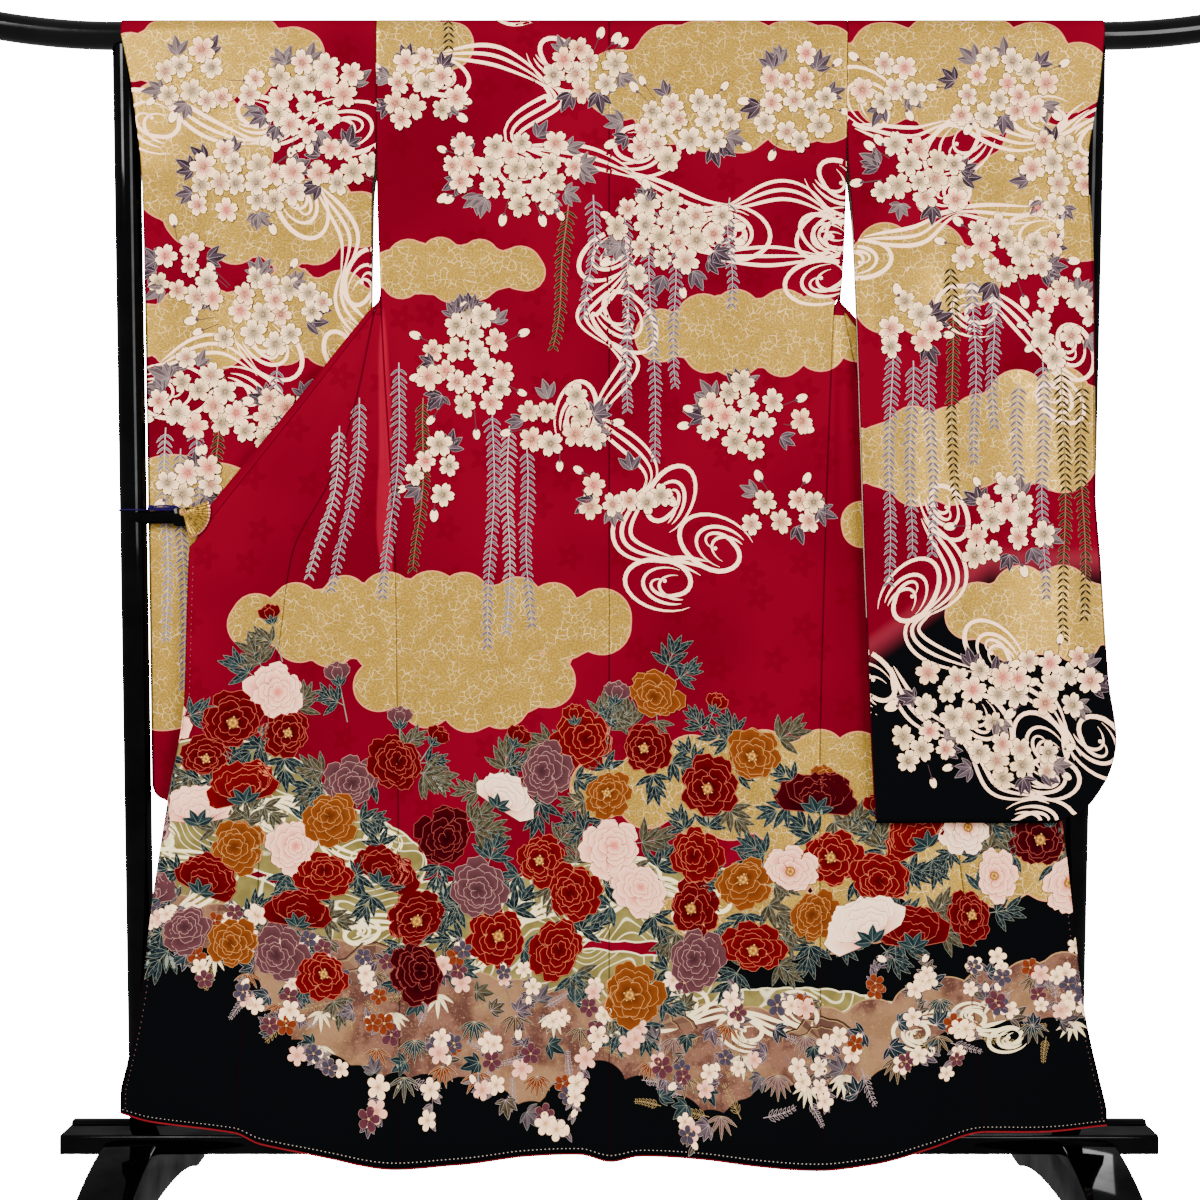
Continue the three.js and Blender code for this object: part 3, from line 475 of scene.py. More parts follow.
def scallops(line, spacing, radius, rise, seed):
    """Round lobes set along a line, each standing a little above it."""
    rng = random.Random(seed)
    x = line["x"][0]
    puffs = []
    while x < line["x"][-1]:
        size = radius * rng.uniform(0.75, 1.25)
        drop = float(along(line, "x", "drop", x)) + size - rise
        puffs.append((x, drop, size))
        x += spacing * rng.uniform(0.75, 1.2)
    return puffs


HEM_LOBES = scallops(BAND_FOOT, 46, 36, 16, 51)
BAND_LOBES = scallops(BAND_TOP, 62, 44, 18, 52)


# A pressed fold stands beside the left side seam. Its highlight is painted into the silk's colour as a
# lighter strip between the left and right x of this table.
FOLD_PAINTED_HIGHLIGHT = table("drop left right", [
    (380, -300, -340), (392, -322, -320), (470, -328, -312), (580, -327, -306), (700, -331, -306),
    (780, -320, -306), (800, -300, -330),
])


def grounds(plane, x, drop):
    """Signed distances of every ground, and of the painted fold highlight, at places of one design plane."""
    far = np.full(np.shape(x), -400.0)
    found = {"gold": inside(GOLD_CLOUDS[plane], x, drop), "pool": far, "band": far, "hem": far, "night": far,
             "fold": far}
    if plane == "garment":
        found["fold"] = np.minimum(x - along(FOLD_PAINTED_HIGHLIGHT, "drop", "left", drop),
                                   along(FOLD_PAINTED_HIGHLIGHT, "drop", "right", drop) - x)
        low = drop > 900
        found["pool"] = np.where(low, inside(POOLS, x, drop), -400)
        found["night"] = np.where(low, drop - along(NIGHT_LINE, "x", "drop", x), -400)
        band = np.maximum(drop - along(BAND_TOP, "x", "drop", x), inside(BAND_LOBES, x, drop))
        found["band"] = np.where(low, band, -400)
        hem = np.maximum(drop - along(BAND_FOOT, "x", "drop", x) - 10, inside(HEM_LOBES, x, drop))
        found["hem"] = np.where(low, hem, -400)
    if plane == "sleeve_right":
        found["night"] = (abs(drop) - 884 + 0.72 * np.clip(x - 360, 0, 176)) / 34
    return found


print("gold puffs:", {plane: len(puffs) for plane, puffs in GOLD_CLOUDS.items()})

# %% [markdown]
# ## Meshes of cloth
# A panel becomes a closed wall: its middle surface moved out and in by half the wall, joined along every open
# edge. The inner face takes the lining as its second material. The flat design's coordinates become the UV
# map.

# %% From points and faces to a wall
SILK, LINING = 0, 1
NO_SEAM = 99.0


def new_object(name, vertices, faces, materials=()):
    mesh = bpy.data.meshes.new(name)
    mesh.from_pydata([tuple(v) for v in np.asarray(vertices) * MM], [],
                     [tuple(int(i) for i in f) for f in faces])
    mesh.update()
    for material in materials:
        mesh.materials.append(material)
    mesh.polygons.foreach_set("use_smooth", [True] * len(mesh.polygons))
    piece = bpy.data.objects.new(name, mesh)
    bpy.context.scene.collection.objects.link(piece)
    return piece


def vertex_normals(points, quads):
    """Unit normals of points from the quads round them."""
    a, b, c, d = (points[quads[:, k]] for k in range(4))
    face = np.cross(c - a, d - b)
    normals = np.zeros_like(points)
    for k in range(4):
        np.add.at(normals, quads[:, k], face)
    return normals / np.maximum(np.linalg.norm(normals, axis=-1, keepdims=True), 1e-9)


def shell(points, normals, quads, thickness):
    """Vertices and faces of a closed wall: a middle surface moved out and in, joined along its open edges."""
    count = len(points)
    edges = np.concatenate([quads[:, [k, (k + 1) % 4]] for k in range(4)])
    known = set(map(tuple, edges.tolist()))
    rim = np.array([(j, i, i + count, j + count) for i, j in known if (j, i) not in known])
    vertices = np.concatenate([points + normals * thickness / 2, points - normals * thickness / 2])
    return vertices, np.concatenate([quads, quads[:, ::-1] + count, rim])


def point_values(mesh, name, values):
    mesh.attributes.new(name, "FLOAT", "POINT").data.foreach_set("value", np.ascontiguousarray(values))


def wall(name, points, quads, design, plane, materials, outward, seam=None):
    """A closed wall of cloth on a middle surface, with its grounds and its UV map. The first grid's outward
    normals say which way the quads should turn."""
    points = points.reshape(-1, 3)
    x, drop = (part.reshape(-1) for part in design)
    normals = vertex_normals(points, quads)
    outward = outward.reshape(-1, 3)
    if np.einsum("ij,ij->", normals[:len(outward)], outward) < 0:
        quads = quads[:, ::-1]
        normals = -normals
    vertices, faces = shell(points, normals, quads, WALL)
    piece = new_object(name, vertices, faces, materials)
    mesh = piece.data
    slots = np.full(len(faces), SILK)
    slots[len(quads): 2 * len(quads)] = LINING
    mesh.polygons.foreach_set("material_index", slots)
    both_x, both_drop = np.tile(x, 2), np.tile(drop, 2)
    for ground, distance in grounds(plane, both_x, both_drop).items():
        point_values(mesh, ground, distance)
    from_seam = np.full(len(points), NO_SEAM)
    if seam is not None:
        from_seam[:seam.size] = seam.reshape(-1)
    point_values(mesh, "seam", np.tile(from_seam, 2))
    corners = np.empty(len(mesh.loops), int)
    mesh.loops.foreach_get("vertex_index", corners)
    uv = np.stack([both_x[corners], both_drop[corners]], -1) * MM
    mesh.uv_layers.new(name="cloth").data.foreach_set("uv", uv.reshape(-1))
    return piece


# %% [markdown]
# ## The body panels
# One width of silk runs from the back hem up over the shoulder and down the front, with no shoulder seam. On
# this stand the front part falls behind the rail, draws together at the underarm, turns out round the side
# seam and opens again beside the back, where the clip holds it.

# %% Rows of the body
BODY_SHARES = shares(310)
QUARTER = ROUND * math.pi / 2
UNDERARM = 404.0


def numbered(columns):
    """A table with one more column, the number of each row."""
    return dict(columns, at=np.arange(len(next(iter(columns.values()))), dtype=float))


def edge_row(start, stop, share):
    return np.array(start) + (np.array(stop) - np.array(start)) * share[:, None]


def fall(side, row):
    """Neck and side end of the front panel behind the rail, at a fractional row of its table."""
    columns = numbered(FRONT_TURN[side])
    at = {name: float(along(columns, "at", name, row)) for name in TURN_NAMES.split()}
    sign = SIDES[side]
    neck = (sign * at["neck_x"], at["neck_y"], RAIL["height"] - at["neck_drop"])
    edge = (sign * at["side_x"], at["side_y"], RAIL["height"] - at["side_drop"])
    return neck, edge, (at["neck_drop"] + at["side_drop"]) / 2


def body_panel(side):
    sign = SIDES[side]
    rows, drops = [], []
    for drop in np.linspace(HEM["mean"], 0, round(HEM["mean"] / STEP) + 1):
        edge = float(along(BACK_EDGE[side], "drop", "x", drop))
        rows.append(plane_point(sign * edge * BODY_SHARES, drop))
        drops.append(drop)
    shoulder = sign * BACK_EDGE[side]["x"][0]
    for degrees in range(-78, 30, 12):
        rows.append(rail_point(shoulder * BODY_SHARES, degrees))
        drops.append(-QUARTER * (degrees + 90) / 90)
    for turn in np.linspace(0, 1, 9):
        degrees = lerp(NECK["behind"], 90, turn)
        neck = sign * NECK["shoulder"] * math.sqrt(turn)
        rows.append(rail_point(lerp(neck, shoulder, BODY_SHARES), degrees))
        drops.append(-QUARTER * (degrees + 90) / 90)
    last = len(FRONT_TURN[side]["side_drop"]) - 1
    for row in np.linspace(0, last, 56)[1:]:
        neck, edge, drop = fall(side, row)
        rows.append(edge_row(neck, edge, BODY_SHARES))
        drops.append(-2 * QUARTER - drop)
    start = len(rows)
    for drop in np.linspace(UNDERARM, HEM["mean"], round((HEM["mean"] - UNDERARM) / STEP) + 1):
        seam = sign * float(along(OKUMI_SEAM[side], "drop", "x", drop))
        edge = sign * float(along(BACK_EDGE[side], "drop", "x", drop))
        rows.append(plane_point(lerp(seam, edge, BODY_SHARES), drop))
        drops.append(drop)
    return Panel(rows, drops, BODY_SHARES), [(0, start), (start, len(rows))]


panels = {}
for side in SIDES:
    panels[f"body_{side}"] = body_panel(side)
    print(f"body_{side}", panels[f"body_{side}"][0].points.shape)

# %% [markdown]
# ## The overlap panels
# Each okumi is sewn to the front's edge. Its other edge is bound by the collar down to the clip and free
# below it.

# %% Rows of the okumi
OKUMI_SHARES = shares(150)


def collar_line(share):
    """The collar's free and sewn edge on the opened front, from the underarm (0) to the clip (1)."""
    run_x = COLLAR["end"][0] - COLLAR["corner"][0]
    run_drop = COLLAR["end"][1] - COLLAR["corner"][1]
    length = math.hypot(run_x, run_drop)
    width = lerp(COLLAR["start"], COLLAR["width"], share)
    free = np.array([COLLAR["corner"][0] + run_x * share, COLLAR["corner"][1] + run_drop * share])
    return free, free + np.array([-width * run_drop, width * run_x]) / length


def okumi_outer(side, drop):
    """x of the okumi's outer edge: the collar seam as far as the clip, then its own free edge."""
    sewn = np.array([collar_line(share)[1] for share in np.linspace(0, 1, 60)])
    if drop <= sewn[-1, 1]:
        return float(np.interp(drop, sewn[:, 1], sewn[:, 0]))
    return float(along(OKUMI_EDGE[side], "drop", "x", drop))


def okumi_panel(side):
    sign = SIDES[side]
    rows, drops = [], []
    for drop in np.linspace(UNDERARM - 9, HEM["mean"], round((HEM["mean"] - UNDERARM) / STEP) + 2):
        seam = float(along(OKUMI_SEAM[side], "drop", "x", drop))
        rows.append(plane_point(sign * lerp(seam, okumi_outer(side, drop), OKUMI_SHARES), drop))
        drops.append(drop)
    return Panel(rows, drops, OKUMI_SHARES), [(0, len(rows))]


for side in SIDES:
    panels[f"okumi_{side}"] = okumi_panel(side)
    print(f"okumi_{side}", panels[f"okumi_{side}"][0].points.shape)

# %% [markdown]
# ## The sleeves
# A sleeve is one width folded over at the shoulder. Its outer edge is closed below the wrist opening and its
# foot is closed, with a rounded outer corner, while the inner edge hangs open below the armhole. So it is a
# grid like the body, and its two layers are then joined by a narrow fold along the outer edge and the foot.

# %% Rows and folds of the sleeves
SLEEVE_SHARES = shares(330)
FOLD = 4.0
ARMHOLE_SEWN = (120, 190)


def sleeve_row(side, drop, behind):
    sign = SIDES[side]
    columns = SLEEVE_ROWS[side]
    layer = "back" if behind else "front"
    at = {name: float(along(columns, "drop", name, drop)) for name in SLEEVE_NAMES.split()}
    outer = at["back_outer"] if behind else at["outer"]
    seam = float(along(BACK_EDGE[side], "drop", "x", drop))
    loose = min(1, max(0, (drop - ARMHOLE_SEWN[0]) / (ARMHOLE_SEWN[1] - ARMHOLE_SEWN[0])))
    x = sign * lerp(lerp(seam, at["inner"], loose), outer, SLEEVE_SHARES)
    swell = 2 * min(1, drop / 500) * np.sin(2 * np.pi * x / 150)
    y = lerp(at[f"{layer}_in"], at[f"{layer}_out"], SLEEVE_SHARES) + swell
    y = y + creases(SLEEVE_CREASES[side], x, drop) * (0.5 if behind else 1)
    return np.stack([x, y, np.full(x.shape, RAIL["height"] - drop)], -1)


def sleeve_panel(side):
    foot = SLEEVE_ROWS[side]["drop"][-1]
    corner = np.linspace(foot - 60, foot, 17)
    down = np.concatenate([np.linspace(0, foot - 60, round((foot - 60) / STEP))[:-1], corner])
    rows = [sleeve_row(side, drop, False) for drop in down[::-1]]
    drops = list(down[::-1])
    shoulder = rows[-1][:, 0]
    for degrees in range(-78, 90, 12):
        rows.append(rail_point(shoulder, degrees))
        drops.append(-QUARTER * (degrees + 90) / 90)
    rows += [sleeve_row(side, drop, True) for drop in down]
    drops += [-2 * QUARTER - drop for drop in down]
    return Panel(rows, drops, SLEEVE_SHARES, (True, False)), [(0, len(rows))]


def sleeve_faces(side, panel):
    """All faces of a sleeve, with the points of its folds added after the grid's own."""
    rows, columns = panel.points.shape[:2]
    points = list(panel.points.reshape(-1, 3))
    at = np.arange(rows * columns).reshape(rows, columns)
    quads = grid_quads(rows, columns).tolist()
    outward = SIDES[side] * FOLD * 0.7
    sewn = [k for k in range(rows // 2) if panel.drops[k] >= WRIST]

    def add_between(front, back, out, low):
        points.append((points[front] + points[back]) / 2)
        points[-1] = np.array([points[front][0] + out, points[-1][1], points[front][2] - low])
        return len(points) - 1

    fold = [add_between(at[k, -1], at[-1 - k, -1], outward, FOLD if k == 0 else 0) for k in sewn]
    for k in sewn[:-1]:
        quads.append([at[k + 1, -1], at[k, -1], fold[k], fold[k + 1]])
        quads.append([at[-1 - k, -1], at[-2 - k, -1], fold[k + 1], fold[k]])
    foot = [add_between(at[0, c], at[-1, c], 0, FOLD) for c in range(columns - 1)] + [fold[0]]
    for c in range(columns - 1):
        quads.append([at[0, c + 1], at[0, c], foot[c], foot[c + 1]])
        quads.append([at[-1, c], at[-1, c + 1], foot[c + 1], foot[c]])
    return np.array(points), np.array(quads)


for side in SIDES:
    panels[f"sleeve_{side}"] = sleeve_panel(side)
    print(f"sleeve_{side}", panels[f"sleeve_{side}"][0].points.shape)


# %% [markdown]
# ## Shader maths as expressions
# A small class wraps a socket, so a mask or a mixture can be written as ordinary arithmetic. Every node is
# made by one method, which sets the node's own settings first and then its sockets.

# %% A material's values
class Value:
    """A socket of a finish. Arithmetic on it adds Math nodes."""

    def __init__(self, finish, socket):
        self.finish = finish
        self.socket = socket

    def maths(self, operation, *values):
        inputs = dict(enumerate(values))
        return self.finish.node("ShaderNodeMath", {"operation": operation}, inputs)

    def __add__(self, other):
        return self.maths("ADD", self, other)

    def __sub__(self, other):
        return self.maths("SUBTRACT", self, other)

    def __rsub__(self, other):
        return self.maths("SUBTRACT", other, self)

    def __mul__(self, other):
        return self.maths("MULTIPLY", self, other)

    def __truediv__(self, other):
        return self.maths("DIVIDE", self, other)

    def __pow__(self, other):
        return self.maths("POWER", self, other)

    __radd__ = __add__
    __rmul__ = __mul__

    def absolute(self):
        return self.maths("ABSOLUTE", self)

    def step(self, low, high):
        """0 below low and 1 above high, smooth between. With low above high it runs the other way."""
        if low > high:
            return 1 - self.step(high, low)
        inputs = {"Value": self, "From Min": low, "From Max": high}
        return self.finish.node("ShaderNodeMapRange", {"interpolation_type": "SMOOTHSTEP"}, inputs)


STUDIO = 0.524  # what the studio's light gives back of a dye's own value


def ink(red, green, blue):
    """A dye as a painter reads it, 0 to 255, as Blender's linear light. Bleached silk goes a little over."""
    parts = np.array([red, green, blue]) / 255.0
    linear = np.where(parts <= 0.04045, parts / 12.92, ((parts + 0.055) / 1.055) ** 2.4)
    return (*map(float, linear * STUDIO), 1.0)


class Finish:
    """A material and its nodes."""

    def __init__(self, name, **constants):
        self.material = bpy.data.materials.new(name)
        self.material.use_nodes = True
        self.tree = self.material.node_tree
        self.shader = self.tree.nodes["Principled BSDF"]
        for socket, value in constants.items():
            self.shader.inputs[socket.replace("_", " ")].default_value = value

    def node(self, kind, settings=None, inputs=None, output=0):
        made = self.tree.nodes.new(kind)
        for name, value in (settings or {}).items():
            setattr(made, name, value)
        for key, value in (inputs or {}).items():
            if isinstance(value, Value):
                self.tree.links.new(value.socket, made.inputs[key])
            else:
                made.inputs[key].default_value = value
        return Value(self, made.outputs[output])

    def set(self, **values):
        for name, value in values.items():
            self.tree.links.new(value.socket, self.shader.inputs[name.replace("_", " ")])

    def mix(self, share, first, second):
        """A mixture of two colours, each a colour or a value."""
        settings = {"data_type": "RGBA"}
        return self.node("ShaderNodeMix", settings, {"Factor": share, 6: first, 7: second}, 2)

    def noise(self, vector, scale, detail=2.0, roughness=0.5):
        inputs = {"Vector": vector, "Scale": scale, "Detail": detail, "Roughness": roughness}
        return self.node("ShaderNodeTexNoise", None, inputs)

    def attribute(self, name, output="Fac"):
        return self.node("ShaderNodeAttribute", {"attribute_name": name}, None, output)

    def cloth_map(self):
        return self.node("ShaderNodeUVMap", {"uv_map": "cloth"})

    def place(self):
        return self.node("ShaderNodeTexCoord", None, None, "Object")

    def scaled(self, vector, factors):
        return self.node("ShaderNodeVectorMath", {"operation": "MULTIPLY"}, {0: vector, 1: factors})

    def bump(self, height, strength, distance):
        return self.node("ShaderNodeBump", None,
                         {"Height": height, "Strength": strength, "Distance": distance})


print("ink(165, 5, 30) =", [round(part, 3) for part in ink(165, 5, 30)])

# %% [markdown]
# ## Dyed and gilded silk
# The shell is figured satin: small blossoms woven into a smooth ground, seen only as a change of gloss. Over
# the dye lie gilded clouds with a web of fine pale cracks, water with thin cream currents, and a mottled band
# near the hem.

# %% Silk
RED, RED_DEEP, RED_FIGURE = ink(120, 4, 29), ink(101, 3, 23), ink(84, 0, 13)
BLACK = ink(8, 9, 11)
GOLD, GOLD_PALE, GOLD_CRACK = ink(166, 126, 42), ink(200, 160, 74), ink(280, 236, 166)
GOLD_RIM = ink(232, 150, 104)
WATER, WATER_DEEP, CURRENT = ink(146, 130, 70), ink(118, 104, 54), ink(262, 244, 190)
EARTH, EARTH_DEEP, EARTH_FLECK = ink(132, 90, 72), ink(90, 56, 48), ink(184, 140, 92)
DUSK = ink(140, 40, 56)


def woven_blossoms(finish, cloth, cells, size):
    """Small five-petalled figures scattered over the cloth, as a mask."""
    place = finish.scaled(cloth, (cells, cells, 0))
    settings = {"voronoi_dimensions": "2D", "feature": "F1"}
    centre = finish.node("ShaderNodeTexVoronoi", settings, {"Vector": place, "Scale": 1.0, "Randomness": 0.7},
                         "Position")
    offset = finish.node("ShaderNodeVectorMath", {"operation": "SUBTRACT"}, {0: place, 1: centre})
    parts = finish.node("ShaderNodeSeparateXYZ", None, {0: offset})
    across = Value(finish, parts.socket.node.outputs[0])
    down = Value(finish, parts.socket.node.outputs[1])
    turn = across.maths("ARCTAN2", down, across)
    reach = (across * across + down * down) ** 0.5
    petal = (turn * 5).maths("COSINE", turn * 5) * (0.24 * size) + 0.76 * size
    return (petal - reach).step(-0.02, 0.02) * (reach - 0.16 * size).step(-0.02, 0.02)


def dyed_silk():
    finish = Finish("dyed_silk", Specular_IOR_Level=0.0)
    cloth = finish.cloth_map()
    slow = finish.noise(cloth, 3.2, 2.0)
    fine = finish.noise(cloth, 620.0, 1.0)
    colour = finish.mix(slow.step(0.35, 0.7), RED, RED_DEEP)
    figure = woven_blossoms(finish, cloth, 15.0, 0.3)
    colour = finish.mix(figure * 0.22, colour, RED_FIGURE)
    night = finish.attribute("night")
    colour = finish.mix(night.step(-0.9, -0.1) * 0.7, colour, DUSK)
    colour = finish.mix(night.step(-0.5, 0.9), colour, BLACK)

    # Painted highlight: the strip of the pressed fold by the left side seam is made lighter, where it would
    # catch the light.
    fold = finish.attribute("fold")
    colour = finish.mix(fold.step(-1.5, 4.0) * 0.5, colour, ink(176, 18, 50))

    pool_edge = finish.attribute("pool")
    drift = finish.noise(cloth, 7.0, 1.5, 0.4)
    eddies = ((drift * 68).maths("SINE", drift * 68)).absolute()
    streaks = eddies.step(0.34, 0.12)
    water = finish.mix(finish.noise(cloth, 30.0, 3.0).step(0.35, 0.65), WATER, WATER_DEEP)
    water = finish.mix(streaks * 0.85, water, CURRENT)
    colour = finish.mix(pool_edge.step(-0.6, 0.6), colour, water)
    colour = finish.mix(pool_edge.absolute().step(1.5, 0.7), colour, CURRENT)

    band = finish.attribute("band")
    mottle = finish.noise(cloth, 26.0, 5.0, 0.65)
    grain = finish.noise(cloth, 260.0, 2.0, 0.7)
    earth = finish.mix(mottle.step(0.42, 0.6), EARTH, EARTH_DEEP)
    sand = finish.noise(cloth, 9.0, 3.0).step(0.5, 0.62)
    earth = finish.mix(sand * 0.4, earth, EARTH_FLECK)
    earth = finish.mix(grain.step(0.58, 0.7) * 0.7, earth, EARTH_FLECK)
    colour = finish.mix(band.step(-0.6, 0.6), colour, earth)
    colour = finish.mix(band.absolute().step(1.2, 0.5), colour, EARTH_FLECK)
    hem = finish.attribute("hem")
    colour = finish.mix(hem.step(-0.6, 0.6), colour, BLACK)

    gold_edge = finish.attribute("gold")
    bent = finish.node("ShaderNodeTexNoise", {"noise_dimensions": "2D"},
                       {"Vector": cloth, "Scale": 46.0, "Detail": 2.0}, 1)
    wander = finish.node("ShaderNodeVectorMath", {"operation": "MULTIPLY_ADD"},
                         {0: bent, 1: (0.016, 0.016, 0), 2: cloth})
    settings = {"voronoi_dimensions": "2D", "feature": "DISTANCE_TO_EDGE"}
    web = finish.node("ShaderNodeTexVoronoi", settings, {"Vector": wander, "Scale": 104.0})
    patchy = finish.noise(cloth, 44.0, 2.0).step(0.42, 0.58)
    gilt = finish.mix(finish.noise(cloth, 420.0, 2.0).step(0.4, 0.65), GOLD, GOLD_PALE)
    gilt = finish.mix(web.step(0.055, 0.015) * patchy * 0.85, gilt, GOLD_CRACK)
    on_gold = gold_edge.step(-0.6, 0.6)
    colour = finish.mix(on_gold, colour, gilt)
    colour = finish.mix(gold_edge.absolute().step(1.3, 0.6), colour, GOLD_RIM)

    # Painted shade: a fine dark line along every seam, standing in for the shadow in the pressed seam.
    seam = finish.attribute("seam")
    colour = finish.mix(seam.step(1.9, 0.5) * 0.62, colour, ink(26, 5, 10))

    height = fine * 0.5 + figure * 0.4 + on_gold * 0.6
    finish.set(
        Base_Color=colour,
        Roughness=0.5 - figure * 0.1 - on_gold * 0.1 + (fine - 0.5) * 0.06,
        Metallic=on_gold * 0.3,
        Normal=finish.bump(height, 0.25, 0.0003),
    )
    return finish.material


def lining_silk():
    """Plain silk inside: ivory above, red below, as the skirt is faced with its own colour."""
    finish = Finish("lining_silk", Specular_IOR_Level=0.0)
    cloth = finish.cloth_map()
    down = finish.node("ShaderNodeSeparateXYZ", None, {0: cloth})
    drop = Value(finish, down.socket.node.outputs[1])
    tone = finish.noise(cloth, 18.0, 3.0)
    upper = finish.mix(tone, ink(226, 214, 186), ink(210, 196, 166))
    lower = finish.mix(tone, ink(124, 4, 30), ink(104, 3, 24))
    faced = drop.absolute().step(0.897, 0.9)
    weave = finish.noise(finish.scaled(cloth, (900, 260, 1)), 1.0, 2.0)
    finish.set(
        Base_Color=finish.mix(faced, upper, lower),
        Roughness=0.55 + (weave - 0.5) * 0.1,
        Normal=finish.bump(weave, 0.2, 0.0002),
    )
    return finish.material


silk = dyed_silk()
lining = lining_silk()
print("nodes in the silk:", len(silk.node_tree.nodes))

# %% [markdown]
# ## The panels as pieces
# Each grid now becomes a wall of cloth that stands for its plain solid in the frame.

# %% Body, okumi and sleeves
PLANE_OF = {
    "body_left": "garment", "body_right": "garment", "okumi_left": "garment", "okumi_right": "garment",
    "sleeve_left": "sleeve_left", "sleeve_right": "sleeve_right",
}
pieces = {}


def stand_for(piece, node):
    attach(piece, "root")
    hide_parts(node)


def make_panel(name):
    panel = panels[name][0]
    x, drop = panel.design()
    if name.startswith("sleeve"):
        points, quads = sleeve_faces(name.split("_")[1], panel)
        extra = len(points) - x.size
        high = points[-extra:]
        x = np.concatenate([x.reshape(-1), high[:, 0]])
        drop = np.concatenate([drop.reshape(-1), RAIL["height"] - high[:, 2]])
    else:
        points = panel.points
        quads = grid_quads(*panel.points.shape[:2])
    across = np.linalg.norm(panel.points[:, -1] - panel.points[:, 0], axis=-1)
    seam = np.minimum(panel.shares, 1 - panel.shares) * across[:, None]
    piece = wall(f"{name}_cloth", points, quads, (x, drop), PLANE_OF[name], (silk, lining), panel.normals,
                 seam)
    stand_for(piece, name)
    pieces[name] = piece
    return piece


for name in PLANE_OF:
    made = make_panel(name)
    print(made.name, len(made.data.polygons), "faces")


# %% [markdown]
# ## Drawing on silk
# The motifs are painted and outlined by hand on the real cloth. Here each is a thin drawn shape that lies
# just over its panel: shapes are drawn flat in millimetres on the design, cut where they cross a seam, and
# then carried to the hanging cloth. Their colours are kept at their points, so petals can shade from heart to
# rim.

# %% The painter's paper
PAINT_STEP = 0.08


class Drawing:
    """Flat coloured shapes on one design plane, each a little above the one before."""

    def __init__(self):
        self.points, self.faces, self.inks, self.lifts = [], [], [], []
        self.count = 0

    def shape(self, points, faces, inks, lift):
        points = np.asarray(points, float)
        self.points.append(points)
        self.faces.append(np.asarray(faces, int) + self.count)
        self.inks.append(np.broadcast_to(np.asarray(inks, float)[..., :3], (len(points), 3)))
        self.lifts.append(np.full(len(points), float(lift)))
        self.count += len(points)

    def strip(self, inner, outer, tone, lift, closed=True):
        """A band of quads between two lines of points."""
        count = len(inner)
        here = np.arange(count if closed else count - 1)
        following = (here + 1) % count
        faces = np.concatenate([np.stack([here, here + count, following + count], -1),
                                np.stack([here, following + count, following], -1)])
        self.shape(np.concatenate([inner, outer]), faces, tone, lift)

    def joined(self):
        return (np.concatenate(part) for part in (self.points, self.faces, self.inks, self.lifts))


def rings(drawing, centre, outline, shares_out, inks, lift):
    """A star-shaped figure as rings from its centre out to its outline, with an ink for each ring."""
    turns = np.linspace(0, 2 * np.pi, len(outline), endpoint=False)
    spokes = np.stack([np.cos(turns), np.sin(turns)], -1) * outline[:, None]
    points, faces, tones = [np.array([centre])], [], [inks[0]]
    count = len(outline)
    for k, share in enumerate(shares_out):
        points.append(np.array(centre) + spokes * share)
        tones += [inks[k + 1]] * count
        this = 1 + k * count + np.arange(count)
        following = 1 + k * count + (np.arange(count) + 1) % count
        if k == 0:
            faces.append(np.stack([np.zeros(count, int), this, following], -1))
        else:
            faces.append(np.stack([this - count, this, following], -1))
            faces.append(np.stack([this - count, following, following - count], -1))
    drawing.shape(np.concatenate(points), np.concatenate(faces), np.array(tones), lift)


def outline_of(drawing, centre, outline, width, tone, lift):
    """A line round a star-shaped figure."""
    turns = np.linspace(0, 2 * np.pi, len(outline), endpoint=False)
    way = np.stack([np.cos(turns), np.sin(turns)], -1)
    inner, outer = (np.array(centre) + way * reach[:, None] for reach in (outline * 0.9, outline + width))
    drawing.strip(inner, outer, tone, lift)


def faces_between(count):
    """Triangles between two lines of so many points each."""
    here = np.arange(count - 1)
    return np.concatenate([np.stack([here, here + 1, here + 1 + count], -1),
                           np.stack([here, here + 1 + count, here + count], -1)])


def ribbon(drawing, path, widths, tone, lift):
    """A brush line along a path, as wide at each point as widths says."""
    path = np.asarray(path, float)
    ahead = np.gradient(path, axis=0)
    ahead /= np.maximum(np.linalg.norm(ahead, axis=1, keepdims=True), 1e-9)
    aside = np.stack([-ahead[:, 1], ahead[:, 0]], -1) * (np.asarray(widths) / 2)[:, None]
    drawing.shape(np.concatenate([path + aside, path - aside]), faces_between(len(path)), tone, lift)


def unit(heading):
    return np.array([math.cos(heading), math.sin(heading)])


def square_to(way):
    return np.array([-way[1], way[0]])


def line(drawing, start, stop, width, tone, lift, steps=1):
    share = np.linspace(0, 1, steps + 1)[:, None]
    path = np.array(start) + (np.array(stop) - np.array(start)) * share
    ribbon(drawing, path, np.full(len(path), width), tone, lift)


def toward(centre, heading, reach):
    return np.array([centre[0] + reach * math.cos(heading), centre[1] + reach * math.sin(heading)])


def ray(drawing, centre, heading, near, far, width, tone, lift):
    line(drawing, toward(centre, heading, near), toward(centre, heading, far), width, tone, lift)


def dot(drawing, centre, radius, tone, lift, sides=6):
    rings(drawing, centre, np.full(sides, radius), (1,), (tone, tone), lift)


# %% [markdown]
# ## Blossoms, buds and leaves
# A cherry blossom has five petals, each with a notch in its rim, and fine stamens from a pink or taupe heart.
# Every figure is outlined with a thin darker line, which is a narrow band of its own round the rim.

# %% Cherry blossoms
IVORY, CREAM, SHADE, ROSE = ink(322, 268, 206), ink(304, 250, 184), ink(190, 162, 128), ink(256, 140, 124)
HEARTS = [ink(112, 90, 66), ink(104, 84, 64), ink(206, 74, 80), ink(98, 78, 70)]
POLLEN, CALYX_BROWN = ink(190, 150, 96), ink(88, 66, 76)
FINE = ink(58, 40, 34)
LINE = 1.05


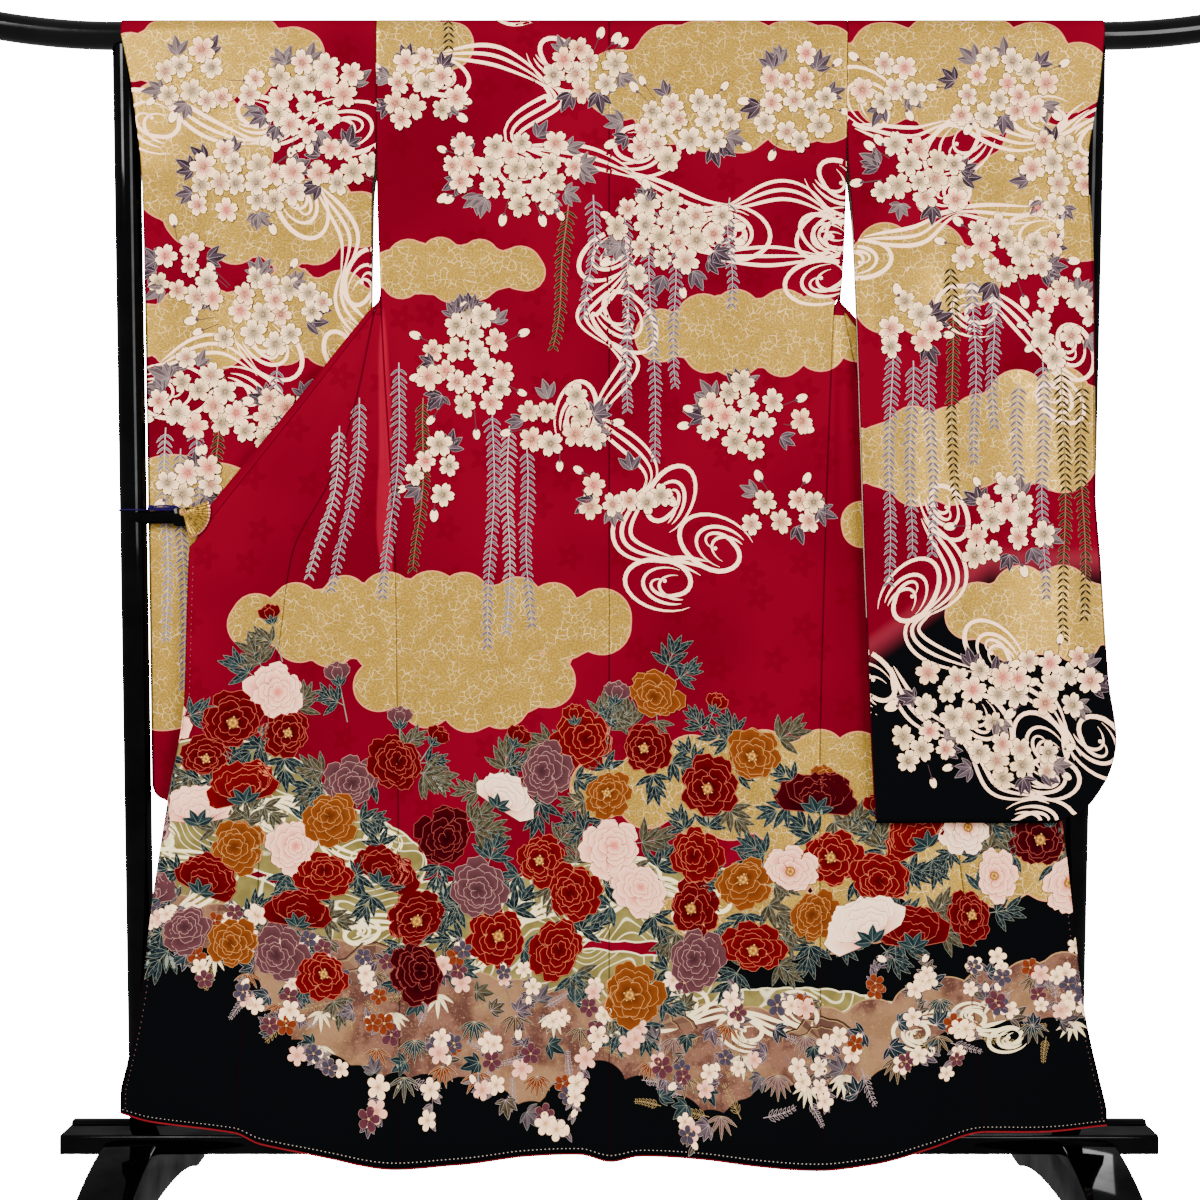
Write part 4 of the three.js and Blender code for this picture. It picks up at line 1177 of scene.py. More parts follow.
def petals(count, depth, notch, samples=8):
    """Outline of a flower of radius 1, as radii at even turns, with a notch in each rim."""
    across = np.arange(count * samples) / samples % 1 - 0.5
    return 1 - depth * (2 * abs(across)) ** 2.3 - notch * np.exp(-((across / 0.06) ** 2))


BLOSSOM = petals(5, 0.46, 0.12)


def turned(outline, turn):
    """The same outline begun from another of its samples, and where its first petal now starts."""
    samples = round(turn / (2 * math.pi) * len(outline))
    return np.roll(outline, samples), samples / len(outline) * 2 * math.pi


def blend(first, second, share):
    return tuple(lerp(np.array(first), np.array(second), share))


def blossom(drawing, rng, centre, size, level):
    turn = rng.uniform(0, 2 * math.pi)
    heart = rng.choice(HEARTS)
    lean = rng.choice([1, 1, 0.9, 0.8])
    outline, start = turned(BLOSSOM, turn)
    flower = outline * size
    turns = np.linspace(0, 2 * np.pi, len(flower), endpoint=False) + rng.uniform(0, 0.5)
    flower = flower * (1 - (1 - lean) * np.cos(turns) ** 2)
    lift = 0.45 + level * 3.2 * PAINT_STEP
    outline_of(drawing, centre, flower, LINE, FINE, lift)
    petal_ink = rng.choice([IVORY, IVORY, CREAM])
    base = rng.choice([SHADE, SHADE, ROSE])
    rings(drawing, centre, flower, (0.5, 1), (base, blend(base, petal_ink, 0.45), petal_ink),
          lift + PAINT_STEP)
    rings(drawing, centre, np.full(8, size * 0.24), (1,), (heart, base), lift + 2 * PAINT_STEP)
    for k in range(5):
        seam = start + k * 2 * math.pi / 5
        ray(drawing, centre, seam, size * 0.16, size * 0.6, LINE * 0.8, FINE, lift + 2 * PAINT_STEP)
        for spread in (-0.3, 0.02, 0.34):
            way = seam + math.pi / 5 + spread
            reach = size * rng.uniform(0.4, 0.62)
            ray(drawing, centre, way, size * 0.1, reach, 0.6, heart, lift + 2 * PAINT_STEP)
    dot(drawing, centre, size * 0.1, POLLEN, lift + 3 * PAINT_STEP)


def bud(drawing, centre, size, heading, tone, lift):
    """A closed bud: an oval with a calyx at its foot."""
    turns = np.linspace(0, 2 * math.pi, 12, endpoint=False)
    oval = np.stack([size * (1 + 0.1 * np.cos(turns)) * np.cos(turns), size * 0.66 * np.sin(turns)], -1)
    spin = np.array([[math.cos(heading), math.sin(heading)], [-math.sin(heading), math.cos(heading)]])
    fan = [(0, k + 1, (k + 1) % 12 + 1) for k in range(12)]
    for scale, colour, up in ((1 + LINE / size, FINE, 0), (1, tone, PAINT_STEP)):
        drawing.shape(np.concatenate([[[0, 0]], oval * scale]) @ spin + np.array(centre), fan, colour,
                      lift + up)
    dot(drawing, toward(centre, heading, -size * 0.85), size * 0.3, CALYX_BROWN, lift + 2 * PAINT_STEP)


# %% Leaves
LEAF_STATIONS = np.linspace(0, 1, 6)
LEAF_LINE = 0.34
GREYS = [(ink(66, 52, 60), ink(92, 76, 82)), (ink(48, 36, 44), ink(72, 56, 64)),
         (ink(88, 72, 74), ink(118, 100, 98))]
LEAF_EDGE = ink(184, 160, 158)
TEALS = [(ink(16, 26, 31), ink(30, 43, 48)), (ink(22, 36, 41), ink(38, 54, 57)),
         (ink(18, 28, 33), ink(34, 47, 50)), (ink(56, 48, 33), ink(78, 67, 47))]
TEAL_EDGE = ink(136, 140, 122)


def leaf(drawing, base, heading, length, width, tones, edge, lift, veins=0, bend=0.0):
    """A pointed leaf in two tones with a pale edge and midrib."""
    along_leaf = LEAF_STATIONS * length
    half = width / 2 * np.sin(np.pi * LEAF_STATIONS**0.82)
    curve = bend * length * LEAF_STATIONS**2
    way = unit(heading)
    side = square_to(way)

    def spot(lengthwise, sideways):
        return np.array(base) + np.outer(lengthwise, way) + np.outer(sideways, side)

    middle = spot(along_leaf, curve)
    ribbon(drawing, spot(along_leaf * (1 + LEAF_LINE / length), curve), 2 * (half + LEAF_LINE), edge, lift)
    faces = faces_between(len(LEAF_STATIONS))
    for sign, tone in zip((1, -1), tones):
        drawing.shape(np.concatenate([middle, spot(along_leaf, curve + sign * half)]), faces, tone,
                      lift + PAINT_STEP)
    ribbon(drawing, middle[:-1], np.linspace(0.55, 0.25, 5), edge, lift + 2 * PAINT_STEP)
    for k in range(veins):
        at = (k + 1) / (veins + 1)
        bow = bend * length * at * at
        root = spot(at * length, bow)[0]
        for sign in (-1, 1):
            line(drawing, root, spot((at + 0.16) * length, bow + sign * width * 0.3)[0], 0.26, edge,
                 lift + 2 * PAINT_STEP)


def sprig(drawing, rng, base, heading, size, tones, edge, lift, count=3, veins=0):
    """A few leaves fanned from one point."""
    for k in range(count):
        spread = (k - (count - 1) / 2) * rng.uniform(0.55, 0.8)
        length = size * (1 - 0.2 * abs(k - (count - 1) / 2)) * rng.uniform(0.9, 1.1)
        leaf(drawing, base, heading + spread, length, length * 0.42, tones, edge, lift + 3 * k * 0.02, veins,
             rng.uniform(-0.1, 0.1))


CROWD = 0.62


def clear_of(placed, x, drop, size, crowd):
    """Whether a figure stands far enough from those already placed."""
    return all(math.hypot(x - p[0], drop - p[1]) > crowd * (size + p[2]) for p in placed)


def cherry_cluster(drawing, rng, centre, reach, count):
    """A bough's end: blossoms crowded on each other, leaves looking out round them and buds beyond."""
    placed = []
    for _ in range(count * 30):
        if len(placed) == count:
            break
        turn = rng.uniform(0, 2 * math.pi)
        out = math.sqrt(rng.random())
        ragged = 1 + 0.16 * math.sin(3 * turn + centre[0]) + 0.1 * math.sin(5 * turn + centre[1])
        spot = (centre[0] + reach[0] * out * ragged * math.cos(turn),
                centre[1] + reach[1] * out * ragged * math.sin(turn))
        size = rng.uniform(16, 20.5)
        if clear_of(placed, *spot, size, CROWD):
            placed.append((*spot, size))
    for k in range(max(3, round(count * 0.5))):
        turn = rng.uniform(0, 2 * math.pi)
        base = (centre[0] + reach[0] * 0.95 * math.cos(turn), centre[1] + reach[1] * 0.95 * math.sin(turn))
        sprig(drawing, rng, base, turn + rng.uniform(-0.4, 0.4), rng.uniform(25, 32), rng.choice(GREYS),
              LEAF_EDGE, 0.3 + 0.02 * (k % 4), rng.choice([3, 3, 4, 5]))
    for k in range(max(2, round(count * 0.34))):
        turn = rng.uniform(0, 2 * math.pi)
        out = rng.uniform(1.1, 1.25)
        spot = (centre[0] + (reach[0] * out + 14) * math.cos(turn),
                centre[1] + (reach[1] * out + 14) * math.sin(turn))
        root = (centre[0] + reach[0] * 0.85 * math.cos(turn), centre[1] + reach[1] * 0.85 * math.sin(turn))
        line(drawing, root, spot, 0.9, ink(84, 62, 66), 0.4, 3)
        bud(drawing, spot, rng.uniform(7, 9.5), turn, IVORY, 0.5)
    for k, (x, drop, size) in enumerate(placed):
        blossom(drawing, rng, (x, drop), size, k % 5)


print("outline points of a blossom:", len(BLOSSOM))

# %% [markdown]
# ## Running water
# Water is drawn as bundles of tapering lines that meet, swell apart and meet again, with nested curls that
# leave each meeting point. A curl's path is found by walking along it while its bend grows, which gives the
# spiral at its end.

# %% Currents
WATER_LINE = ink(320, 256, 208)
POOL_LINE = ink(284, 256, 196)


def curl(start, heading, length, last_bend, steps):
    """A path whose bend grows from nothing to its last value, in radians a millimetre."""
    share = np.linspace(0, 1, steps)
    bends = last_bend * share**2
    headings = heading + np.concatenate([[0], np.cumsum((bends[1:] + bends[:-1]) / 2)]) * length / (steps - 1)
    hops = np.stack([np.cos(headings), np.sin(headings)], -1) * length / (steps - 1)
    return np.array(start) + np.concatenate([[[0, 0]], np.cumsum(hops[:-1], 0)])


def swelling(steps, width):
    """The widths of a brush stroke that swells and thins again."""
    share = np.linspace(0, 1, steps)
    return np.maximum(width * np.sin(np.pi * share**0.75) ** 0.8, 0.5)


NEST = 3


def eddy(drawing, rng, centre, heading, size, side, lift, tone):
    """Nested crescents that open towards a heading. The longest winds on into a spiral."""
    way = unit(heading)
    across = square_to(way) * side
    tall = rng.uniform(0.58, 0.7)
    for k in range(NEST):
        shrink = 1 - 0.25 * k
        middle = np.array(centre) + way * size * 0.2 * k
        if k == 0:
            turns = np.radians(np.linspace(40, 640, 46))
            reach = np.interp(turns, np.radians([40, 290, 400, 520, 640]), [1.1, 1.0, 0.52, 0.34, 0.16])
            widths = swelling(46, 6.4)
        else:
            turns = np.radians(np.linspace(52 + 6 * k, 300 - 18 * k, 20))
            reach = np.ones(20)
            widths = swelling(20, 5.8 - 0.7 * k)
        reach = (reach * shrink * size)[:, None]
        path = middle + reach * (np.cos(turns)[:, None] * way + tall * np.sin(turns)[:, None] * across)
        ribbon(drawing, path, widths, tone, lift)
        if k == 0:
            dot(drawing, path[-1], 2.8, tone, lift, 8)


def spine_of(places, hop=6.0):
    """A smooth path through a few places, with a point every few millimetres."""
    places = np.array(places, float)
    padded = np.concatenate([[2 * places[0] - places[1]], places, [2 * places[-1] - places[-2]]])
    path = []
    for k in range(len(places) - 1):
        a, b, c, d = padded[k:k + 4]
        steps = max(4, round(np.hypot(*(c - b)) / hop))
        for t in np.arange(steps) / steps:
            path.append(0.5 * (2 * b + (c - a) * t + (2 * a - 5 * b + 4 * c - d) * t**2
                               + (3 * b - a - 3 * c + d) * t**3))
    return np.array(path + [places[-1]])


def stream(drawing, rng, places, lanes=3, gap=13.0, size=50, tone=WATER_LINE, period=24):
    path = spine_of(places)
    ahead = np.gradient(path, axis=0)
    ahead /= np.linalg.norm(ahead, axis=1, keepdims=True)
    aside = np.stack([-ahead[:, 1], ahead[:, 0]], -1)
    steps = np.arange(len(path))
    bulge = 0.24 + 0.76 * np.abs(np.sin(np.pi * steps / period))
    sway = 11 * np.sin(steps * 2 * np.pi / (2 * period) + rng.uniform(0, 6))
    nodes = list(range(0, len(path), period)) + [len(path) - 1]
    for first, last in zip(nodes, nodes[1:]):
        for lane in range(lanes):
            start = max(0, first - rng.randint(0, 4))
            stop = min(len(path), last + rng.randint(1, 5))
            if stop - start < 6:
                continue
            shift = (lane - (lanes - 1) / 2) * gap
            stroke = path[start:stop] + aside[start:stop] * (sway + bulge * shift)[start:stop, None]
            ribbon(drawing, stroke, swelling(len(stroke), rng.uniform(4.6, 6.2)), tone, 0.22)
    side = rng.choice([-1, 1])
    for at in nodes:
        heading = math.atan2(ahead[at, 1], ahead[at, 0])
        reach = size * rng.uniform(0.8, 1.15)
        centre = path[at] + aside[at] * (sway[at] + side * reach * 0.72)
        eddy(drawing, rng, centre, heading + rng.choice([0, math.pi]) + rng.uniform(-0.3, 0.3), reach, side,
             0.24, tone)
        side = -side


# %% [markdown]
# ## Hanging sprays
# Long sprays hang among the blossoms: a fine stem with thin curved leaflets set in pairs, silver grey or dark
# olive.

# %% Sprays
SPRAY_TONES = [(ink(96, 84, 92), ink(196, 176, 178)), (ink(126, 112, 114), ink(214, 196, 190)),
               (ink(30, 27, 19), ink(138, 116, 78))]


def spray(drawing, rng, top, length, sway):
    fill, edge = SPRAY_TONES[rng.choice([0, 0, 1, 2])]
    steps = max(8, round(length / 9.2))
    share = np.linspace(0, 1, steps + 1)
    path = np.stack([top[0] + sway * share**1.6 + 2.5 * np.sin(share * 7 + rng.uniform(0, 6)),
                     top[1] + length * share], -1)
    ribbon(drawing, path, np.linspace(1.5, 0.7, len(path)), edge, 0.3)
    for k, spot in enumerate(path[1:]):
        for side in (-1, 1):
            reach = rng.uniform(12.5, 17) * (1 - 0.35 * share[k])
            heading = math.pi / 2 - side * rng.uniform(0.85, 1.1)
            way = unit(heading)
            across = square_to(way)
            bow = across * (side * 2.2 * np.linspace(0, 1, 4) ** 2)[:, None]
            for grow, colour, lift in ((0.42, edge, 0.32), (0.0, fill, 0.32 + PAINT_STEP)):
                half = np.array([0.25, 1.35, 1.15, 0.05]) + grow
                middle = way * (np.linspace(0, 1, 4) * (reach + grow))[:, None] + bow
                edge_points = across * half[:, None]
                points = spot + np.concatenate([middle + edge_points, middle - edge_points])
                drawing.shape(points, faces_between(4), colour, lift)


# %% [markdown]
# ## Peonies
# Peonies fill the skirt, in reds, orange, mauve and pale pink. Each petal is a wavy fan of its own, laid over
# the ones outside it and edged with a pale line. Some flowers show a golden heart, some are seen from the
# side with the calyx, and some are buds.

# %% Peonies
PEONIES = {
    "red": {"deep": ink(56, 1, 6), "lit": ink(92, 3, 10), "edge": ink(196, 96, 74)},
    "scarlet": {"deep": ink(68, 2, 6), "lit": ink(106, 6, 9), "edge": ink(210, 112, 80)},
    "wine": {"deep": ink(34, 1, 6), "lit": ink(62, 3, 10), "edge": ink(170, 76, 66)},
    "orange": {"deep": ink(88, 38, 10), "lit": ink(128, 62, 18), "edge": ink(214, 150, 88)},
    "mauve": {"deep": ink(62, 34, 38), "lit": ink(94, 54, 58), "edge": ink(190, 144, 132)},
    "pink": {"deep": ink(244, 118, 100), "lit": ink(300, 230, 192), "edge": ink(150, 76, 62)},
    "white": {"deep": ink(266, 158, 132), "lit": ink(300, 258, 216), "edge": ink(158, 96, 78)},
}
PEONY_MIX = ["red", "scarlet", "pink", "orange", "scarlet", "mauve", "red", "white", "wine", "orange",
             "scarlet", "pink", "mauve", "red"]
HEART_GOLD, HEART_DEEP, STAMEN = ink(206, 140, 48), ink(120, 62, 30), ink(236, 190, 110)
CALYX = (ink(22, 38, 42), ink(40, 58, 60))


def petal(drawing, rng, base, heading, length, spread, tones, lift, squash):
    """A broad petal: a fan from its base, wavy along the rim, deeper in colour towards its foot."""
    samples = 9
    way = np.linspace(-1, 1, samples)
    ripple = 0.05 * np.cos(way * rng.uniform(7, 10) + rng.uniform(0, 6))
    rim = length * (1 - 0.26 * abs(way) ** 3.2) * (1 + ripple)
    turns = heading + way * spread
    fan = np.stack([np.cos(turns), np.sin(turns)], -1)
    amount, axis = squash

    def placed(points):
        return points - np.outer(points @ axis, axis) * (1 - amount) + np.array(base)

    drawing.strip(placed(fan * (rim * 0.93)[:, None]), placed(fan * (rim + 0.7)[:, None]), tones["edge"],
                  lift, False)
    for side in (0, -1):
        flank = placed(fan[side] * (rim[side] * np.array([0.1, 0.4, 0.7, 1]))[:, None])
        ribbon(drawing, flank, np.full(4, 1.4), tones["edge"], lift)
    here = np.arange(samples - 1)
    faces = [np.stack([np.zeros_like(here), here + 1, here + 2], -1)]
    for base_row in (1, 1 + samples):
        low, high = here + base_row, here + base_row + samples
        faces += [np.stack([low, high, high + 1], -1), np.stack([low, high + 1, low + 1], -1)]
    points = np.concatenate([[[0, 0]]] + [fan * (rim * share)[:, None] for share in (0.34, 0.67, 1)])
    deep, lit = np.array(tones["deep"]), np.array(tones["lit"])
    inks = np.array([deep] + [lerp(deep, lit, share) for share in (0.15, 0.55, 1) for _ in range(samples)])
    drawing.shape(placed(points), np.concatenate(faces), inks, lift + PAINT_STEP)


def petal_ring(drawing, rng, centre, radius, inner, count, spread, tones, squash, lift, arc=None, facing=0.0):
    first = rng.uniform(0, 2 * math.pi)
    for k in range(count):
        heading = first + k * 2 * math.pi / count
        if arc is not None:
            heading = facing + arc * ((k + 0.5) / count - 0.5) * 2
        heading += rng.uniform(-0.12, 0.12)
        length = radius * rng.uniform(0.88, 1.08)
        offset = unit(heading) * inner
        amount, axis = squash
        offset = offset - (offset @ axis) * axis * (1 - amount)
        petal(drawing, rng, np.array(centre) + offset, heading, length - inner, spread, tones,
              lift + (k % 2) * 0.03, squash)


def peony(drawing, rng, centre, radius, level, tones, kind):
    lift = 0.46 + level * 0.4
    lean = rng.uniform(0, 2 * math.pi)
    squash = (rng.uniform(0.76, 0.98), unit(lean))
    gap = 2.4 * PAINT_STEP * 0.7
    if kind == "side":
        facing = -math.pi / 2 + rng.uniform(-0.7, 0.7)
        foot = toward(centre, facing, -radius * 0.5)
        for k, (reach, count,
                arc) in enumerate(((1.35, 5, 1.25), (1.3, 4, 0.8), (1.1, 4, 0.9), (0.85, 3, 0.7),
                                   (0.6, 3, 0.8))):
            petal_ring(drawing, rng, foot, radius * reach, 0, count, 0.5, tones, (1.0, squash[1]),
                       lift + k * gap, arc, facing)
        for spread in (-1.2, -0.5, 0.5, 1.2):
            leaf(drawing, foot, facing + spread, radius * 0.55, radius * 0.24, CALYX, TEAL_EDGE,
                 lift + 6 * gap)
        return
    heart = toward(centre, lean, -radius * 0.14)
    plan = ((1.0, 0.3, 7, 0.74), (0.84, 0.2, 6, 0.78), (0.66, 0.14, 5, 0.86), (0.47, 0.06, 5, 0.8))
    for k, (reach, inner, count, spread) in enumerate(plan):
        spot = lerp(np.array(centre), heart, k / 3)
        petal_ring(drawing, rng, spot, radius * reach, radius * inner, count, spread, tones, squash,
                   lift + k * gap)
    top = lift + 4 * gap
    if kind == "open":
        rings(drawing, heart, np.full(12, radius * 0.17), (0.5, 1), (HEART_DEEP, HEART_GOLD, HEART_DEEP), top)
        for k in range(9):
            dot(drawing, toward(heart, k * 0.7, radius * 0.09 * (1 + (k % 2))), 1.2, STAMEN, top + PAINT_STEP,
                5)
    else:
        petal_ring(drawing, rng, heart, radius * 0.3, 0, 4, 0.8, tones, squash, top)


def peony_bud(drawing, rng, centre, size, tones, heading):
    for k, (spread, reach) in enumerate(((0.0, 2.0), (-0.42, 1.9), (0.42, 1.9), (0.0, 1.55))):
        foot = toward(centre, heading, -size)
        petal(drawing, rng, foot, heading + spread, size * reach, 0.42, tones, 0.5 + k * 0.1,
              (1.0, np.array([1.0, 0])))
    for spread in (-0.8, 0, 0.8):
        leaf(drawing, toward(centre, heading, -size * 1.05), heading + spread, size * 0.95, size * 0.4, CALYX,
             TEAL_EDGE, 1.0)


def peony_leaves(drawing, rng, base, heading, size, lift):
    """A compound leaf: a stalk with groups of broad pointed leaflets."""
    tones = rng.choice(TEALS)
    line(drawing, base, toward(base, heading, size * 0.9), 1.0, TEAL_EDGE, lift, 4)
    for k, (share, spread,
            lobes) in enumerate(((0.85, 0.0, (-0.5, 0.5, 0)), (0.4, 0.9, (-0.3, 0.35)),
                                 (0.4, -0.9, (-0.35, 0.3)))):
        root = toward(base, heading, size * share)
        for lobe in lobes:
            length = size * rng.uniform(0.85, 1.05)
            leaf(drawing, root, heading + spread + lobe, length, length * 0.31, tones, TEAL_EDGE,
                 lift + 0.02 * (k * 3) + (0.06 if lobe == 0 else 0), 2, rng.uniform(-0.12, 0.12))


# %% [markdown]
# ## Growth in the mottled band
# Near the hem the ground is scattered with little blossoms in several colours, fans of bamboo leaves, fine
# twigs and rocks, and small sprays of blossom stray on to the black.

# %% Small blossoms, bamboo, twigs and rocks
SMALL_TONES = [
    (IVORY, ink(222, 130, 116)), (IVORY, ink(190, 150, 104)), (IVORY, ink(222, 130, 116)),
    (ink(286, 208, 172), ink(214, 84, 84)), (ink(128, 50, 22), ink(70, 22, 14)),
    (ink(92, 46, 56), ink(54, 24, 34)), (ink(70, 62, 76), ink(40, 36, 48)),
]
BAMBOO_TONES = [(ink(286, 256, 200), ink(262, 234, 176)), (ink(136, 62, 26), ink(106, 44, 20)),
                (ink(20, 38, 46), ink(40, 60, 66)), (ink(64, 46, 36), ink(88, 68, 54)),
                (ink(92, 60, 64), ink(116, 84, 84))]
SMALL_OUTLINE = petals(5, 0.5, 0.07, 7)
SMALL_EDGE, SMALL_VEIN, SMALL_POLLEN = ink(176, 136, 110), ink(150, 108, 90), ink(214, 170, 96)
ROCK_TONES = [ink(104, 72, 58), ink(124, 88, 68), ink(92, 62, 52), ink(140, 104, 76)]
ROCK_LINES = [(1, 2.0, ink(54, 36, 30)), (0.93, 0.7, ink(196, 160, 96)), (0.62, 1.2, ink(54, 36, 30)),
              (0.57, 0.6, ink(196, 160, 96))]


def small_blossom(drawing, rng, centre, size, tones, lift):
    turn = rng.uniform(0, 2 * math.pi)
    outline, start = turned(SMALL_OUTLINE, turn)
    outline = outline * size
    outline_of(drawing, centre, outline, 0.55, SMALL_EDGE, lift)
    petal_ink, heart = tones
    rings(drawing, centre, outline, (0.36, 1), (heart, blend(heart, petal_ink, 0.7), petal_ink),
          lift + PAINT_STEP)
    for k in range(5):
        ray(drawing, centre, start + k * 1.2566, size * 0.15, size * 0.52, 0.45, SMALL_VEIN,
            lift + 2 * PAINT_STEP)
    dot(drawing, centre, size * 0.13, SMALL_POLLEN, lift + 3 * PAINT_STEP)


def blossom_sprig(drawing, rng, base, heading, size, lift=0.5):
    """A twig with two to four small blossoms, leaves and a bud."""
    path = curl(base, heading, size * 3.4, rng.uniform(-1, 1) * 0.9 / size, 9)
    ribbon(drawing, path, np.linspace(1.5, 0.6, len(path)), ink(120, 96, 96), 0.3)
    tones = rng.choice(GREYS + TEALS[3:])
    for k in (2, 3, 5, 6, 8):
        ahead = math.atan2(*(path[min(k + 1, 8)] - path[k - 1])[::-1])
        way = ahead + rng.choice([-1, 1]) * rng.uniform(0.6, 1.0)
        sprig(drawing, rng, path[k], way, size * rng.uniform(1.0, 1.4), tones, LEAF_EDGE, 0.34,
              rng.choice([1, 2, 3]))
    for k in rng.sample((1, 3, 5, 7), rng.choice([2, 3, 3])):
        spot = path[k] + np.array([rng.uniform(-1, 1), rng.uniform(-1, 1)]) * size * 0.6
        small_blossom(drawing, rng, spot, size * rng.uniform(0.85, 1.1), rng.choice(SMALL_TONES),
                      lift + 0.04 * k)
    bud(drawing, path[-1], size * 0.5, rng.uniform(0, 6), IVORY, lift)


def bamboo(drawing, rng, centre, size, lift):
    tones = rng.choice(BAMBOO_TONES)
    count = rng.choice([5, 6, 7])
    for k in range(count):
        spread = (k / (count - 1) - 0.5) * 2.5
        length = size * (1 - 0.16 * abs(spread)) * rng.uniform(0.92, 1.08)
        leaf(drawing, centre, math.pi / 2 + spread, length, length * 0.19, tones, ink(196, 168, 128),
             lift + 0.02 * k, 0, -0.12 * spread)


def fern(drawing, rng, base, heading, length, tone, lift):
    path = curl(base, heading, length, rng.uniform(-1, 1) * 1.6 / length, 8)
    ribbon(drawing, path, np.linspace(0.9, 0.4, len(path)), tone, lift)
    for k in range(1, len(path) - 1):
        ahead = math.atan2(*(path[k + 1] - path[k])[::-1])
        for side in (-1, 1):
            root, tip = path[k], toward(path[k], ahead + side * 0.7, length * 0.26 * (1 - k / 11))
            middle_left, middle_right = (toward((root + tip) / 2, ahead + side * 0.7 + turn, 1.6)
                                         for turn in (1.57, -1.57))
            for a, b in ((root, middle_left), (middle_left, tip), (root, middle_right), (middle_right, tip)):
                line(drawing, a, b, 0.5, tone, lift)


def rock(drawing, rng, centre, wide, tall, lift=0.26):
    """A jagged rock: flat facets under broken contour lines."""
    count, steps = 15, 7
    centre = np.array(centre)
    turns = np.linspace(math.pi, 2 * math.pi, count)
    reach = np.array([1 + rng.uniform(-0.2, 0.16) for _ in range(count)])
    crest = np.stack([centre[0] + wide * np.cos(turns) * reach, centre[1] + tall * np.sin(turns) * reach], -1)
    for k in range(count - 1):
        tone = rng.choice(ROCK_TONES)
        for step in range(steps):
            near, distant = ((crest[k:k + 2] - centre) * share / steps + centre for share in (step, step + 1))
            drawing.strip(near, distant, tone, lift, False)
    for shrink, width, tone in ROCK_LINES:
        ribbon(drawing, (crest - centre) * shrink + centre, np.full(count, width), tone, lift + PAINT_STEP)


print("peony colours:", ", ".join(PEONIES))

# %% [markdown]
# ## The design
# The whole design follows an old order: boughs of cherry and running water above, peonies on the skirt, a
# band of small growth at the hem, and gilded clouds drifting through all of it. Each of the three design
# planes is one drawing, so a bough that crosses a seam runs on over it. Drops above the rail's top are
# negative and lie on the side behind.

# %% Boughs, water and sprays
CLUSTER = "x drop reach_x reach_drop"
BOUGHS = {
    "garment": table(CLUSTER, [
        (-270, 84, 56, 56), (-128, 196, 104, 58), (-36, 56, 62, 40), (96, 132, 92, 50), (262, 96, 58, 66),
        (84, 292, 84, 66), (-196, 470, 64, 88), (-70, 556, 62, 44), (196, 548, 70, 56), (246, 676, 62, 34),
        (-246, 622, 36, 46), (20, 650, 60, 34), (-210, -180, 90, 60), (150, -150, 96, 52),
        (230, -300, 64, 70), (-250, -380, 60, 56), (-120, -300, 60, 40),
    ]),
    "sleeve_left": table(CLUSTER, [
        (-590, 66, 60, 44), (-430, 92, 84, 60), (-380, 196, 44, 44), (-520, 214, 92, 52), (-610, 330, 44, 50),
        (-500, 392, 86, 60), (-590, 520, 60, 58), (-452, 552, 74, 46), (-600, 640, 40, 30),
        (-520, -160, 96, 60), (-420, -330, 60, 60), (-580, -420, 70, 60), (-480, -620, 90, 56),
        (-590, -760, 56, 56), (-450, -900, 80, 60),
    ]),
    "sleeve_right": table(CLUSTER, [
        (396, 70, 44, 44), (560, 78, 84, 50), (636, 204, 52, 56), (440, 206, 72, 54), (560, 318, 76, 52),
        (642, 414, 46, 56), (420, 424, 46, 40), (560, 700, 66, 52), (500, 944, 84, 52), (626, 924, 66, 46),
        (440, 1010, 40, 40), (566, 1030, 76, 34), (500, -170, 96, 56), (620, -330, 66, 60),
        (440, -460, 70, 56), (560, -660, 90, 60), (470, -900, 80, 60), (620, -960, 60, 50),
    ]),
}
STREAMS = {
    "garment": [
        [(-236, 30), (-150, 50), (-70, 96), (-130, 150), (-40, 186), (70, 216), (160, 246), (250, 236),
         (322, 262)],
        [(20, 336), (-40, 404), (40, 470), (-20, 552), (60, 630), (30, 720), (130, 772)],
        [(150, 318), (230, 330), (318, 318)],
        [(-290, -120), (-180, -90), (-90, -150), (-190, -230), (-260, -300)],
        [(60, -110), (150, -230), (250, -220), (300, -150)],
    ],
    "sleeve_left": [
        [(-640, 96), (-560, 130), (-470, 150), (-380, 110)],
        [(-420, 226), (-360, 290), (-380, 380), (-350, 440)], [(-640, 470), (-560, 450), (-500, 480)],
        [(-620, -300), (-520, -260), (-420, -250)], [(-430, -450), (-520, -520), (-610, -560)],
        [(-620, -880), (-540, -960), (-440, -1010)],
    ],
    "sleeve_right": [
        [(352, 130), (430, 160), (500, 130), (600, 150), (684, 120)],
        [(360, 290), (440, 300), (500, 262), (600, 250)], [(520, 380), (600, 430), (660, 500)],
        [(446, 690), (480, 780), (430, 850), (520, 900), (610, 960), (660, 1030)],
        [(400, 900), (440, 960), (500, 1010), (540, 1076), (620, 1080)],
        [(400, -250), (520, -300), (640, -220)], [(420, -600), (520, -540), (640, -520)],
        [(420, -760), (520, -820), (640, -800)],
    ],
}
POOL_STREAMS = [
    [(-640, 1060), (-570, 1100), (-480, 1090), (-400, 1150), (-330, 1170)],
    [(-640, 1150), (-560, 1190), (-600, 1260), (-500, 1280)],
    [(-440, 1270), (-330, 1250), (-240, 1290), (-130, 1270), (-40, 1240), (60, 1220), (150, 1240)],
    [(20, 1384), (100, 1396), (190, 1394), (270, 1400)], [(430, 1404), (500, 1410), (560, 1404)],
]
ROCKS = table("x drop wide tall",
              [(-330, 1350, 76, 52), (60, 1410, 60, 44), (-560, 1290, 50, 34), (300, 1424, 52, 30)])
SPRAY_ROWS = "x drop length sway"
